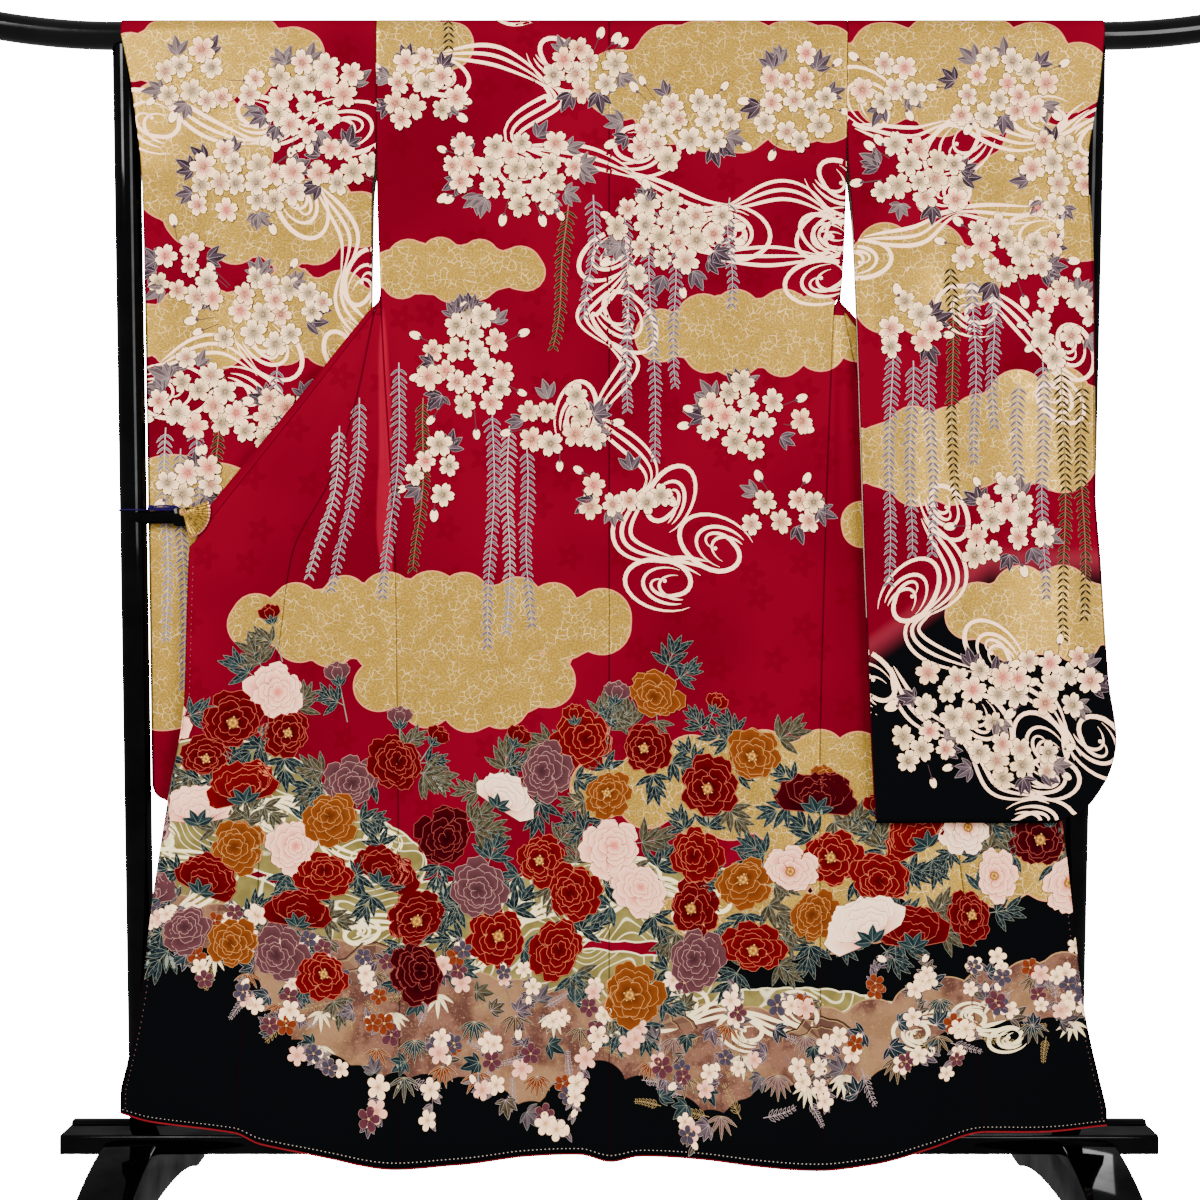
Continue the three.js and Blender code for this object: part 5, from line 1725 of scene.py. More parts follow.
SPRAYS = {
    "garment": table(SPRAY_ROWS, [
        (-296, 470, 330, -24), (-262, 520, 240, -14), (-164, 540, 330, -8), (-118, 590, 250, 6),
        (-142, 560, 290, -2), (24, 236, 300, 4), (58, 244, 360, 8), (92, 240, 260, 2), (-20, 232, 170, -14),
        (-60, 246, 200, -20), (-352, 520, 270, -40), (-380, 560, 210, -44), (170, 236, 150, 4),
        (-230, -200, 220, 0), (210, -220, 180, 0),
    ]),
    "sleeve_left": table(SPRAY_ROWS, [
        (-634, 560, 300, 2), (-612, 590, 340, 6), (-588, 560, 280, 4), (-560, 470, 220, -6),
        (-474, 470, 200, 4), (-430, 560, 150, 2),
    ]),
    "sleeve_right": table(SPRAY_ROWS, [
        (398, 452, 330, -6), (426, 470, 270, -2), (452, 440, 300, 4), (482, 330, 330, 6), (514, 350, 260, 2),
        (610, 470, 330, 4), (640, 480, 380, 2), (666, 500, 330, 4), (576, 500, 220, -4), (540, 360, 200, 2),
    ]),
}
PEONY_TOP = table("x drop", [
    (-700, 1060), (-590, 930), (-440, 890), (-350, 950), (-262, 1070), (-150, 1040), (-50, 1000), (50, 930),
    (160, 960), (270, 1060), (420, 1130), (560, 1120), (720, 1150),
])
PEONY_FOOT = table("x drop", [
    (-700, 1250), (-480, 1330), (-330, 1360), (-180, 1320), (20, 1372), (170, 1350), (320, 1300), (500, 1286),
    (720, 1270),
])


def scatter(rng, count, from_x, to_x, top, foot, sizes, crowd):
    """Places for figures between two lines, none too close to another."""
    placed = []
    for _ in range(count * 60):
        if len(placed) == count:
            break
        x = rng.uniform(from_x, to_x)
        low, high = float(along(top, "x", "drop", x)), float(along(foot, "x", "drop", x))
        drop, size = rng.uniform(low, high), rng.uniform(*sizes)
        if clear_of(placed, x, drop, size, crowd):
            placed.append((x, drop, size))
    return placed


def shifted(line_table, by):
    return dict(line_table, drop=line_table["drop"] + by)


FILLED, BLOSSOM_ROOM = 0.88, 325  # how much of a bough's reach has blossoms, and the room of one, in mm2


def draw_plane(plane, seed):
    drawing = Drawing()
    rng = random.Random(seed)
    for places in STREAMS[plane]:
        stream(drawing, rng, places)
    for x, drop, length, sway in rows_of(SPRAYS[plane]):
        spray(drawing, rng, (x, drop), length, sway)
    for x, drop, reach_x, reach_drop in rows_of(BOUGHS[plane]):
        count = max(5, round(reach_x * reach_drop / BLOSSOM_ROOM))
        cherry_cluster(drawing, rng, (x, drop), (reach_x * FILLED, reach_drop * FILLED), count)
    return drawing


drawings = {plane: draw_plane(plane, seed) for plane, seed in zip(GOLD_CLOUDS, (61, 62, 63))}
for plane, drawing in drawings.items():
    print(plane, drawing.count, "points")

# %% The skirt
skirt = drawings["garment"]
dice = random.Random(64)
for places in POOL_STREAMS:
    stream(skirt, dice, places, 3, 9.5, 30, POOL_LINE, 14)
for x, drop, wide, tall in rows_of(ROCKS):
    rock(skirt, dice, (x, drop), wide, tall)
flowers = scatter(dice, 60, -690, 700, PEONY_TOP, PEONY_FOOT, (36, 48), 0.72)
for x, drop, size in flowers:
    for _ in range(3):
        heading = dice.uniform(0, 2 * math.pi)
        peony_leaves(skirt, dice, toward((x, drop), heading, size * 0.7), heading, dice.uniform(27, 36), 0.3)
for x, drop, size in scatter(dice, 13, -650, 690, shifted(PEONY_TOP, -70), PEONY_TOP, (13, 17), 1.8):
    heading = -math.pi / 2 + dice.uniform(-0.6, 0.6)
    line(skirt, toward((x, drop), heading, -size), toward((x, drop), heading + math.pi, 70), 1.4, TEAL_EDGE,
         0.3, 8)
    peony_leaves(skirt, dice, toward((x, drop), heading + math.pi, 46), heading + dice.choice([-0.9, 0.9]),
                 26, 0.3)
    peony_bud(skirt, dice, (x, drop), size, PEONIES[dice.choice(PEONY_MIX)], heading)
for k, (x, drop, size) in enumerate(flowers):
    kind = dice.choice(["full", "full", "open", "open", "side"])
    peony(skirt, dice, (x, drop), size, k % 4, PEONIES[PEONY_MIX[k % len(PEONY_MIX)]], kind)
for x, drop, size in scatter(dice, 44, -650, 700, shifted(BAND_TOP, 6), shifted(BAND_FOOT, -6), (17, 21),
                             1.15):
    bamboo(skirt, dice, (x, drop), size * 1.55, 0.3)
for x, drop, size in scatter(dice, 70, -650, 700, shifted(BAND_TOP, -20), shifted(BAND_FOOT, 4), (15, 20),
                             0.9):
    tones = dice.choice(TEALS + GREYS[:2])
    sprig(skirt, dice, (x, drop), dice.uniform(0, 6.28), size * 1.5, tones,
          dice.choice([TEAL_EDGE, LEAF_EDGE]), 0.26, 5)
for x, drop, size in scatter(dice, 60, -650, 700, shifted(BAND_TOP, 10), shifted(BAND_FOOT, 20), (14, 20),
                             0.8):
    fern(skirt, dice, (x, drop), dice.uniform(0, 6.28), size * 2.6,
         dice.choice([LEAF_EDGE, ink(176, 144, 92)]), 0.28)
for x, drop, size in scatter(dice, 66, -660, 700, shifted(BAND_TOP, -40), shifted(BAND_FOOT, 6), (12, 15),
                             1.5):
    blossom_sprig(skirt, dice, (x, drop), dice.uniform(0, 2 * math.pi), size)
for x in np.linspace(-690, 702, 240):
    line(skirt, (x - 0.8, HEM["mean"] - 6), (x + 0.8, HEM["mean"] - 6), 0.9, ink(210, 190, 176), 0.2)
for side, sign in SIDES.items():
    for drop in np.arange(760, HEM["mean"] - 8, 9.0):
        x = sign * (float(along(OKUMI_EDGE[side], "drop", "x", drop)) - 7)
        line(skirt, (x, drop - 0.9), (x, drop + 0.9), 0.7, ink(150, 96, 88), 0.2)
print("peonies", len(flowers), "points on the garment", skirt.count)

# %% [markdown]
# ## From the flat drawing to the hanging cloth
# Every triangle of a drawing is placed on a panel by its row and its share across. Triangles over a panel's
# edge are cut along it, as the dye stops where the cloth is cut, and the next panel takes the rest.

# %% Carry the drawings over
def cut_to_panel(polygon, limits):
    """Clip a polygon of corners (share, row, ink..., lift) at each limit: axis, value and side to keep."""
    for axis, limit, keep in limits:
        result = []
        for k, here in enumerate(polygon):
            before = polygon[k - 1]
            inside_here = (here[axis] - limit) * keep >= 0
            inside_before = (before[axis] - limit) * keep >= 0
            if inside_here != inside_before:
                share = (limit - before[axis]) / (here[axis] - before[axis])
                result.append(before + (here - before) * share)
            if inside_here:
                result.append(here)
        if len(result) < 3:
            return []
        polygon = result
    return polygon


GATHERED = 18  # a row drawn together narrower than this, in mm, isn't painted


def carry(arrays, panel, start, stop):
    """The part of a drawing that lies on a panel's rows from start to stop: vertices, faces and inks."""
    points, faces, inks, lifts = arrays
    rows = np.arange(start, stop)
    order = np.argsort(panel.drops[start:stop])
    drops, at_rows = panel.drops[start:stop][order], rows[order]
    row = np.interp(points[:, 1], drops, at_rows)
    first_gap, last_gap = (at_rows[1] - at_rows[0]), (at_rows[-1] - at_rows[-2])
    row = np.where(points[:, 1] < drops[0], at_rows[0] - first_gap * (drops[0] - points[:, 1]) / STEP, row)
    row = np.where(points[:, 1] > drops[-1], at_rows[-1] + last_gap * (points[:, 1] - drops[-1]) / STEP, row)
    from_x, to_x = (np.interp(row, rows, ends[start:stop]) for ends in (panel.from_x, panel.to_x))
    width = to_x - from_x
    narrow = abs(width) < GATHERED
    share = np.where(narrow, -9, (points[:, 0] - from_x) / np.where(narrow, GATHERED, width))
    state = np.column_stack([share, row, inks, lifts])
    inside_all = (share >= 0) & (share <= 1) & (row >= start) & (row <= stop - 1)
    triangles = state[faces]
    keep = inside_all[faces].all(1)
    low, high = triangles[..., :2].min(1), triangles[..., :2].max(1)
    near = (low[:, 0] <= 1) & (high[:, 0] >= 0) & (low[:, 0] > -4)
    near &= (low[:, 1] <= stop - 1) & (high[:, 1] >= start)
    limits = [(0, 0.0, 1), (0, 1.0, -1), (1, float(start), 1), (1, float(stop - 1), -1)]
    corners = [triangles[keep].reshape(-1, 6)]
    new_faces = [np.arange(3 * keep.sum()).reshape(-1, 3)]
    count = 3 * int(keep.sum())
    for triangle in triangles[near & ~keep]:
        polygon = cut_to_panel(list(triangle), limits)
        if not polygon:
            continue
        corners.append(np.array(polygon))
        new_faces.append(np.array([(count, count + k, count + k + 1) for k in range(1, len(polygon) - 1)]))
        count += len(polygon)
    state = np.concatenate(corners)
    faces = np.concatenate(new_faces)
    if not len(faces):
        return None
    column = np.interp(state[:, 0], panel.shares, np.arange(len(panel.shares)))
    r = np.minimum(state[:, 1].astype(int), len(panel.drops) - 2)
    c = np.minimum(column.astype(int), len(panel.shares) - 2)
    down, over = (state[:, 1] - r)[:, None], (column - c)[:, None]

    def between(grid):
        top = grid[r, c] * (1 - over) + grid[r, c + 1] * over
        foot = grid[r + 1, c] * (1 - over) + grid[r + 1, c + 1] * over
        return top * (1 - down) + foot * down

    normals = between(panel.normals)
    places = between(panel.points) + normals * (WALL / 2 + state[:, 5:6])
    a, b, d = (places[faces[:, k]] for k in range(3))
    facing = np.einsum("ij,ij->i", np.cross(b - a, d - a), normals[faces[:, 0]])
    faces = np.where((facing < 0)[:, None], faces[:, ::-1], faces)
    return places, faces[abs(facing) > 1e-6], state[:, 2:5]


def painting(name, material):
    """Everything painted on one panel, as one mesh."""
    panel, ranges = panels[name]
    arrays = tuple(drawings[PLANE_OF[name]].joined())
    parts = [part for part in (carry(arrays, panel, *limits) for limits in ranges) if part]
    counts = np.cumsum([0] + [len(part[0]) for part in parts])
    places = np.concatenate([part[0] for part in parts])
    faces = np.concatenate([part[1] + first for part, first in zip(parts, counts)])
    inks = np.concatenate([part[2] for part in parts])
    piece = new_object(f"{name}_painting", places, faces, (material,))
    colours = np.concatenate([inks, np.ones((len(inks), 1))], 1)
    layer = piece.data.color_attributes.new("ink", "FLOAT_COLOR", "POINT")
    layer.data.foreach_set("color", colours.reshape(-1))
    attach(piece, "root")
    return piece


def painted_silk():
    """Dye and pigment on silk: the ink of each point, a little uneven, with the ground's gloss."""
    finish = Finish("painted_silk", Specular_IOR_Level=0.0)
    tone = finish.attribute("ink", "Color")
    place = finish.place()
    cloudy = finish.noise(place, 160.0, 3.0)
    shade = finish.node("ShaderNodeVectorMath", {"operation": "SCALE"},
                        {0: tone, "Scale": cloudy * 0.24 + 0.86})
    finish.set(
        Base_Color=shade,
        Roughness=0.5 + (cloudy - 0.5) * 0.12,
        Normal=finish.bump(finish.noise(place, 900.0, 1.0), 0.15, 0.0002),
    )
    return finish.material


paint = painted_silk()
for name in PLANE_OF:
    pieces[f"{name}_painting"] = painting(name, paint)
    print(name, len(pieces[f"{name}_painting"].data.polygons), "painted faces")


# %% [markdown]
# ## Collar and hem edges
# The collar is one strip, sewn round the neck and down both fronts to the clips. The red lining is cut a
# little longer than the shell, so it rolls round under every hem as a narrow edge.

# %% Collar
def behind_rail(x, length, y):
    """A point as far behind the rail's top, along the cloth, as length says."""
    loose = ROUND + 0.8
    if length <= QUARTER:
        return np.array(rail_point(x, length / QUARTER * 90, loose)).reshape(3)
    down = length - QUARTER
    return np.array([x, lerp(loose, y, min(1, down / 20)), RAIL["height"] - down])


def collar_half(side):
    """The collar's sewn and free edge as rows of points, from the middle of the neck to the clip."""
    sign = SIDES[side]
    station = numbered(COLLAR_FREE)
    sewn, free = [], []
    for turn in np.linspace(0, 1, 17):
        degrees = lerp(NECK["behind"], 90, turn)
        x, drop, y = (float(along(station, "at", name, turn * 4)) for name in ("x", "drop", "y"))
        sewn.append(behind_rail(sign * NECK["shoulder"] * math.sqrt(turn), QUARTER * degrees / 90 + 0.8, 0))
        free.append(behind_rail(sign * x, QUARTER + drop, y))
    rows = numbered(FRONT_TURN[side])
    for at in np.linspace(0.25, 6, 46):
        x, drop, y = (float(along(rows, "at", name, at)) for name in ("neck_x", "neck_drop", "neck_y"))
        edge_x, edge_drop, edge_y = (float(along(station, "at", name, at + 4)) for name in ("x", "drop", "y"))
        start = np.array([sign * x, y, RAIL["height"] - drop])
        edge = np.array([sign * edge_x, edge_y, RAIL["height"] - edge_drop])
        sewn.append(start + (edge - start) * 1.2 / np.linalg.norm(edge - start))
        free.append(edge)
    for share in np.linspace(0.06, 1, 60):
        edge, seam = collar_line(share)
        sewn.append(np.array(plane_point(np.array([sign * seam[0]]), seam[1])).reshape(3))
        free.append(np.array(plane_point(np.array([sign * edge[0]]), edge[1])).reshape(3))
    return np.array(sewn), np.array(free)


def collar_cloth():
    halves = [collar_half(side) for side in ("left", "right")]
    sewn = np.concatenate([halves[0][0][:0:-1], halves[1][0]])
    free = np.concatenate([halves[0][1][:0:-1], halves[1][1]])
    share = np.array([0, 0.06, 0.2, 0.36, 0.5, 0.64, 0.8, 0.94, 1])
    points = lerp(sewn[:, None], free[:, None], share[None, :, None])
    normals = grid_normals(points)
    middle = len(points) // 2
    if normals[middle, 4, 1] < 0:
        normals = -normals
    crown = 0.9 * (1 - (2 * share - 1) ** 2) - 0.35 * np.exp(-((share - 0.5) / 0.05) ** 2)
    points = points - normals * crown[None, :, None]
    run = np.concatenate([[0], np.cumsum(np.linalg.norm(np.diff(free, axis=0), axis=1))])
    width = np.linalg.norm(free - sewn, axis=1)
    design = (np.tile(run[:, None], (1, len(share))), -4000 + width[:, None] * share[None])
    quads = grid_quads(*points.shape[:2])
    return wall("collar_cloth", points, quads, design, "garment", (silk, lining), -normals)


collar = collar_cloth()
stand_for(collar, "collar")
print("collar", len(collar.data.polygons), "faces")

# %% Hem edges
ROLL = [(-22, 1.7), (-15, 1.7), (-8, 1.7), (-3, 1.65), (-0.6, 1.5), (0.9, 1.2), (1.9, 0.6), (2.2, -0.1),
        (1.9, -0.6)]


def red_lining():
    finish = Finish("red_lining", Specular_IOR_Level=0.02, Roughness=0.5)
    place = finish.place()
    finish.set(
        Base_Color=finish.mix(finish.noise(place, 60.0), ink(122, 14, 26), ink(146, 30, 38)),
        Normal=finish.bump(finish.noise(place, 2200.0, 1.0), 0.3, 0.0002),
    )
    return finish.material


edge_silk = red_lining()


def hem_edge(name, hem, above):
    """The lining's rolled edge along one panel's hem."""
    down = hem - above
    down /= np.linalg.norm(down, axis=1, keepdims=True)
    rows = np.array([hem + down * more + np.array([0, behind, 0]) for more, behind in ROLL])
    normals = grid_normals(rows)
    piece = new_object(f"{name}_silk", *closed_strip(rows, normals, 0.9), (edge_silk,))
    stand_for(piece, name)
    return piece


def closed_strip(rows, normals, thickness):
    """A grid of points as a closed wall, with its normals and faces turned the same way."""
    if normals[0, 0, 1] > 0:
        normals = -normals
    quads = grid_quads(*rows.shape[:2])
    a, b, c = (rows.reshape(-1, 3)[quads[0, k]] for k in range(3))
    if np.cross(b - a, c - a) @ normals[0, 0] < 0:
        quads = quads[:, ::-1]
    return shell(rows.reshape(-1, 3), normals.reshape(-1, 3), quads, thickness)


for side in SIDES:
    body, okumi = panels[f"body_{side}"][0].points, panels[f"okumi_{side}"][0].points
    for part, hem, above in (("back", body[0], body[1]), ("front", body[-1], body[-2]),
                             ("okumi", okumi[-1], okumi[-2])):
        hem_edge(f"hem_edge_{part}_{side}", hem, above)

# %% [markdown]
# ## Finishes of the stand
# The stand is wood under black lacquer, polished, with faint ripples from the brush and finger marks in the
# gloss. The clips' fans are gilt with a copper rim, and the cord is indigo rayon.

# %% Lacquer, gilt and cord
def lacquer(name, gloss):
    finish = Finish(name, Specular_IOR_Level=gloss, Coat_Roughness=0.06)
    place = finish.place()
    smears = finish.noise(place, 14.0, 4.0, 0.6)
    dust = finish.noise(place, 900.0, 2.0).step(0.66, 0.8)
    ripple = finish.noise(finish.scaled(place, (30.0, 30.0, 9.0)), 1.0, 2.0)
    finish.set(
        Base_Color=finish.mix(dust * 0.5, ink(2, 2, 3), ink(26, 25, 26)),
        Roughness=smears * 0.12 + 0.07 + dust * 0.12,
        Coat_Weight=smears * 0.2,
        Normal=finish.bump(ripple, 0.2, 0.0008),
    )
    return finish.material


def gilt(name, bright, worn):
    finish = Finish(name, Metallic=0.85, Specular_IOR_Level=0.5)
    place = finish.place()
    wear = finish.noise(place, 260.0, 3.0)
    finish.set(
        Base_Color=finish.mix(wear.step(0.38, 0.68), bright, worn),
        Roughness=wear * 0.25 + 0.22,
        Normal=finish.bump(finish.noise(place, 1500.0, 2.0), 0.25, 0.0002),
    )
    return finish.material


def cord_yarn():
    finish = Finish("indigo_cord", Specular_IOR_Level=0.04)
    place = finish.place()
    fibres = finish.noise(finish.scaled(place, (1.0, 1.0, 3.0)), 1400.0, 2.0)
    finish.set(
        Base_Color=finish.mix(fibres, ink(20, 7, 56), ink(34, 14, 88)),
        Roughness=fibres * 0.2 + 0.5,
        Normal=finish.bump(fibres, 0.5, 0.0003),
    )
    return finish.material


black_lacquer, rail_lacquer = lacquer("black_lacquer", 0.0), lacquer("rail_lacquer", 0.08)
gold_gilt = gilt("fan_gilt", ink(204, 156, 54), ink(112, 78, 24))
copper = gilt("fan_copper", ink(224, 150, 116), ink(160, 92, 66))
indigo = cord_yarn()

# %% [markdown]
# ## The stand
# Hard pieces start as a primitive or as a drawn profile, and are then shaped by extruding, spinning, cutting
# and bevelling. Every length comes from the same sizes as the plain solids.

# %% Tools for hard pieces
POST = {"radius": 19, "top": 691, "left": 666, "right": 656}
BEAM = {"half": 775, "depth": 84, "top": 116, "height": 27, "ridge": 5}
LEG = {"centre": 672, "width": 76, "reach": 300}
ARM = {"radius": 9, "drop": 689, "y": -12, "end": 612}
FAN = {"x": 604, "drop": 682, "radius": 39, "ribs": 13}
JAW = {"length": 42, "height": 26, "bite": 2, "past": 8}
FIT = 0.35


def alone(piece=None):
    bpy.ops.object.select_all(action="DESELECT")
    if piece:
        bpy.context.view_layer.objects.active = piece
        piece.select_set(True)


def pick(kind, test):
    """In edit mode, select only the faces or edges that pass a test."""
    bpy.ops.mesh.select_mode(type={"faces": "FACE", "edges": "EDGE"}[kind])
    bpy.ops.mesh.select_all(action="DESELECT")
    shape = bmesh.from_edit_mesh(bpy.context.edit_object.data)
    chosen = [part for part in getattr(shape, kind) if test(part)]
    for part in chosen:
        part.select_set(True)
    bmesh.update_edit_mesh(bpy.context.edit_object.data)
    return len(chosen)


def middle_of(part):
    return sum((corner.co for corner in part.verts), start=part.verts[0].co * 0) / len(part.verts)


def rod(name, start, stop, radius, sides=64):
    """A round rod between two points, in millimetres."""
    start, stop = np.array(start, float), np.array(stop, float)
    way = stop - start
    length = float(np.linalg.norm(way))
    lean = math.acos(way[2] / length)
    turn = math.atan2(way[1], way[0])
    alone()
    bpy.ops.mesh.primitive_cylinder_add(
        vertices=sides, radius=radius * MM, depth=length * MM, location=tuple((start + stop) / 2 * MM),
        rotation=(0, lean, turn),
    )
    piece = bpy.context.active_object
    piece.name = piece.data.name = name
    bpy.ops.object.transform_apply(location=True, rotation=True, scale=True)
    return piece


def profile_board(name, outline, from_x, to_x):
    """A drawn outline in the Y-Z plane, extruded along X."""
    points = [(from_x, y, z) for y, z in outline]
    board = new_object(name, np.array(points, float), [list(range(len(points)))])
    alone(board)
    bpy.ops.object.mode_set(mode="EDIT")
    bpy.ops.mesh.select_all(action="SELECT")
    move = {"value": ((to_x - from_x) * MM, 0, 0)}
    bpy.ops.mesh.extrude_region_move(TRANSFORM_OT_translate=move)
    bpy.ops.mesh.select_all(action="SELECT")
    bpy.ops.mesh.normals_make_consistent(inside=False)
    return board


def finished(piece, material, angle=35):
    if bpy.context.object and bpy.context.object.mode == "EDIT":
        bpy.ops.object.mode_set(mode="OBJECT")
    piece.data.materials.clear()
    piece.data.materials.append(material)
    alone(piece)
    bpy.ops.object.shade_smooth_by_angle(angle=math.radians(angle))
    return piece


def joined(name, parts):
    alone(parts[0])
    for part in parts[1:]:
        part.select_set(True)
    bpy.ops.object.join()
    parts[0].name = parts[0].data.name = name
    return parts[0]


def carved(piece, cutter):
    """Cut one piece's shape out of another."""
    alone(piece)
    bpy.ops.object.modifier_add(type="BOOLEAN")
    cut = piece.modifiers[-1]
    cut.operation, cut.object = "DIFFERENCE", cutter
    bpy.ops.object.modifier_apply(modifier=cut.name)
    bpy.data.objects.remove(cutter)
    return piece


# %% Rail
def make_rail():
    piece = rod("rail_lacquered", (-RAIL["straight"], 0, RAIL["height"]),
                (RAIL["straight"], 0, RAIL["height"]), RAIL["radius"])
    sweep = math.asin(245 / RAIL["bend"])
    bpy.ops.object.mode_set(mode="EDIT")
    for sign in (-1, 1):
        pick("faces", lambda face: face.normal.x * sign > 0.9)
        centre = (sign * RAIL["straight"] * MM, 0, (RAIL["height"] + RAIL["bend"]) * MM)
        bpy.ops.mesh.spin(steps=16, angle=sweep, center=centre, axis=(0, sign, 0))
        bpy.ops.mesh.bevel(offset=7 * MM, segments=6, affect="EDGES")
    return finished(piece, rail_lacquer)


rail = make_rail()
stand_for(rail, "rail")
print("rail", [round(c, 3) for c in rail.dimensions])


# %% Posts
def post_x(side, z):
    reach = (z - BEAM["top"]) / (RAIL["height"] - BEAM["top"])
    return SIDES[side] * lerp(POST[side], POST["top"], reach)


def make_post(side):
    low, high = BEAM["top"] + FIT, RAIL["height"] - 16
    piece = rod(f"post_{side}_lacquered", (post_x(side, low), 0, low), (post_x(side, high), 0, high),
                POST["radius"])
    bpy.ops.object.mode_set(mode="EDIT")
    pick("edges", lambda edge: middle_of(edge).z < (low + 2) * MM
         and abs(edge.verts[0].co.z - edge.verts[1].co.z) < 0.002)
    bpy.ops.mesh.bevel(offset=1.5 * MM, segments=3, affect="EDGES")
    bpy.ops.object.mode_set(mode="OBJECT")
    x = post_x(side, high)
    seat = rod("seat", (x - 60, 0, RAIL["height"]), (x + 60, 0, RAIL["height"]), RAIL["radius"] + FIT)
    return finished(carved(piece, seat), black_lacquer)


for side in SIDES:
    stand_for(make_post(side), f"post_{side}")


# %% Beam
def make_beam():
    half, low, top, ridge = BEAM["depth"] / 2, BEAM["top"] - BEAM["height"], BEAM["top"], BEAM["ridge"]
    outline = [(-half, low), (half, low), (half, top + ridge), (half - 14, top + ridge), (half - 18, top),
               (-half, top)]
    piece = profile_board("base_beam_lacquered", outline, -BEAM["half"], BEAM["half"])

    def front_top(edge):
        spot = middle_of(edge)
        return abs(spot.y + half * MM) < 1e-5 and abs(spot.z - top * MM) < 1e-5

    pick("edges", front_top)
    bpy.ops.mesh.bevel(offset=4 * MM, segments=5, affect="EDGES")
    pick("edges", lambda edge: edge.calc_face_angle(0) > 0.6)
    bpy.ops.mesh.bevel(offset=1 * MM, segments=2, affect="EDGES")
    return finished(piece, black_lacquer)


stand_for(make_beam(), "base_beam")


# %% Legs
def quadratic(a, b, c, steps):
    t = np.linspace(0, 1, steps)[:, None]
    return np.array(a) * (1 - t) ** 2 + 2 * np.array(b) * t * (1 - t) + np.array(c) * t**2


def cubic(a, b, c, d, steps):
    t = np.linspace(0, 1, steps)[:, None]
    return (np.array(a) * (1 - t) ** 3 + 3 * np.array(b) * t * (1 - t) ** 2
            + 3 * np.array(c) * t**2 * (1 - t) + np.array(d) * t**3)


def leg_outline():
    slot, crest_y, crest_z = BEAM["depth"] / 2 + FIT, 50, 106
    toe, sole, arch = LEG["reach"], 238, 26
    under = quadratic((sole, 0), (sole - 90, arch), (0, arch), 22)
    over = cubic((toe, 30), (toe - 60, 70), (crest_y + 90, crest_z - 8), (crest_y + 8, crest_z), 30)
    notch = [(slot, crest_z), (slot, BEAM["top"] - BEAM["height"] - FIT)]
    half = np.array([(y, z) for y, z in under[::-1]] + [(toe, 0)] + [(y, z) for y, z in over] + notch)
    return [tuple(p) for p in half] + [(-y, z) for y, z in half[:0:-1]]


def make_leg(side):
    centre, half = SIDES[side] * LEG["centre"], LEG["width"] / 2
    piece = profile_board(f"leg_{side}_lacquered", leg_outline(), centre - half, centre + half)

    def rim(edge):
        outer = abs(abs(middle_of(edge).x - centre * MM) - half * MM) < 1e-5
        return outer and edge.calc_face_angle(0) > 1.2 and middle_of(edge).z > 1e-4

    pick("edges", rim)
    bpy.ops.mesh.bevel(offset=2.4 * MM, segments=3, affect="EDGES", clamp_overlap=True)
    return finished(piece, black_lacquer)


for side in SIDES:
    stand_for(make_leg(side), f"leg_{side}")


# %% Clip arms
def plane_range(from_x, to_x, from_drop, to_drop):
    spots = [float(plane_point(np.array([x]), drop).reshape(3)[1]) for x in np.linspace(from_x, to_x, 9)
             for drop in np.linspace(from_drop, to_drop, 9)]
    return min(spots), max(spots)


def make_arm(side):
    sign, z = SIDES[side], RAIL["height"] - ARM["drop"]
    start = abs(post_x(side, z))
    piece = rod(f"clip_arm_{side}_lacquered", (sign * start, ARM["y"], z), (sign * ARM["end"], ARM["y"], z),
                ARM["radius"], 40)
    bpy.ops.object.mode_set(mode="EDIT")
    pick("faces", lambda face: face.normal.x * sign < -0.9)
    bpy.ops.mesh.bevel(offset=2.5 * MM, segments=4, affect="EDGES")
    bpy.ops.object.mode_set(mode="OBJECT")
    carved(piece,
           rod("hole", (post_x(side, z - 60), 0, z - 60), (post_x(side, z + 60), 0, z + 60),
               POST["radius"] + FIT))
    tip = ARM["end"] + JAW["past"]
    _, behind = plane_range(sign * (tip - JAW["length"]), sign * tip, ARM["drop"] - 13, ARM["drop"] + 13)
    face = behind + WALL / 2 + FIT
    thick = ARM["y"] - ARM["radius"] + JAW["bite"] - face
    alone()
    bpy.ops.mesh.primitive_cube_add(
        size=1, location=(sign * (tip - JAW["length"] / 2) * MM, (face + thick / 2) * MM, z * MM),
        scale=(JAW["length"] * MM, thick * MM, JAW["height"] * MM),
    )
    jaw = bpy.context.active_object
    bpy.ops.object.transform_apply(location=True, rotation=True, scale=True)
    bpy.ops.object.mode_set(mode="EDIT")
    pick("edges", lambda edge: abs(edge.verts[0].co.y - edge.verts[1].co.y) > thick * MM * 0.5)
    bpy.ops.mesh.bevel(offset=6 * MM, segments=6, affect="EDGES")
    pick("faces", lambda face: abs(face.normal.y) > 0.9 and face.calc_area() > 5e-4)
    bpy.ops.mesh.inset(thickness=0.5 * MM, depth=0.25 * MM)
    bpy.ops.object.mode_set(mode="OBJECT")
    return finished(joined(piece.name, [piece, jaw]), black_lacquer)


for side in SIDES:
    stand_for(make_arm(side), f"clip_arm_{side}")


# %% [markdown]
# ## Fans and cord
# The front jaw of each clip is a small gilt folding fan, pleated, with an arc band, a copper rim and a
# riveted pivot. An indigo cord is looped round the left post and laid along the arm, bound in two places.

# %% Fans
def on_fan(side, reach, turn, up):
    """A place on a fan: how far from its pivot, at what turn, and how far in front of the cloth."""
    return (SIDES[side] * (FAN["x"] - reach * math.cos(turn)), FAN_SEAT[side] - up,
            RAIL["height"] - FAN["drop"] + reach * math.sin(turn))


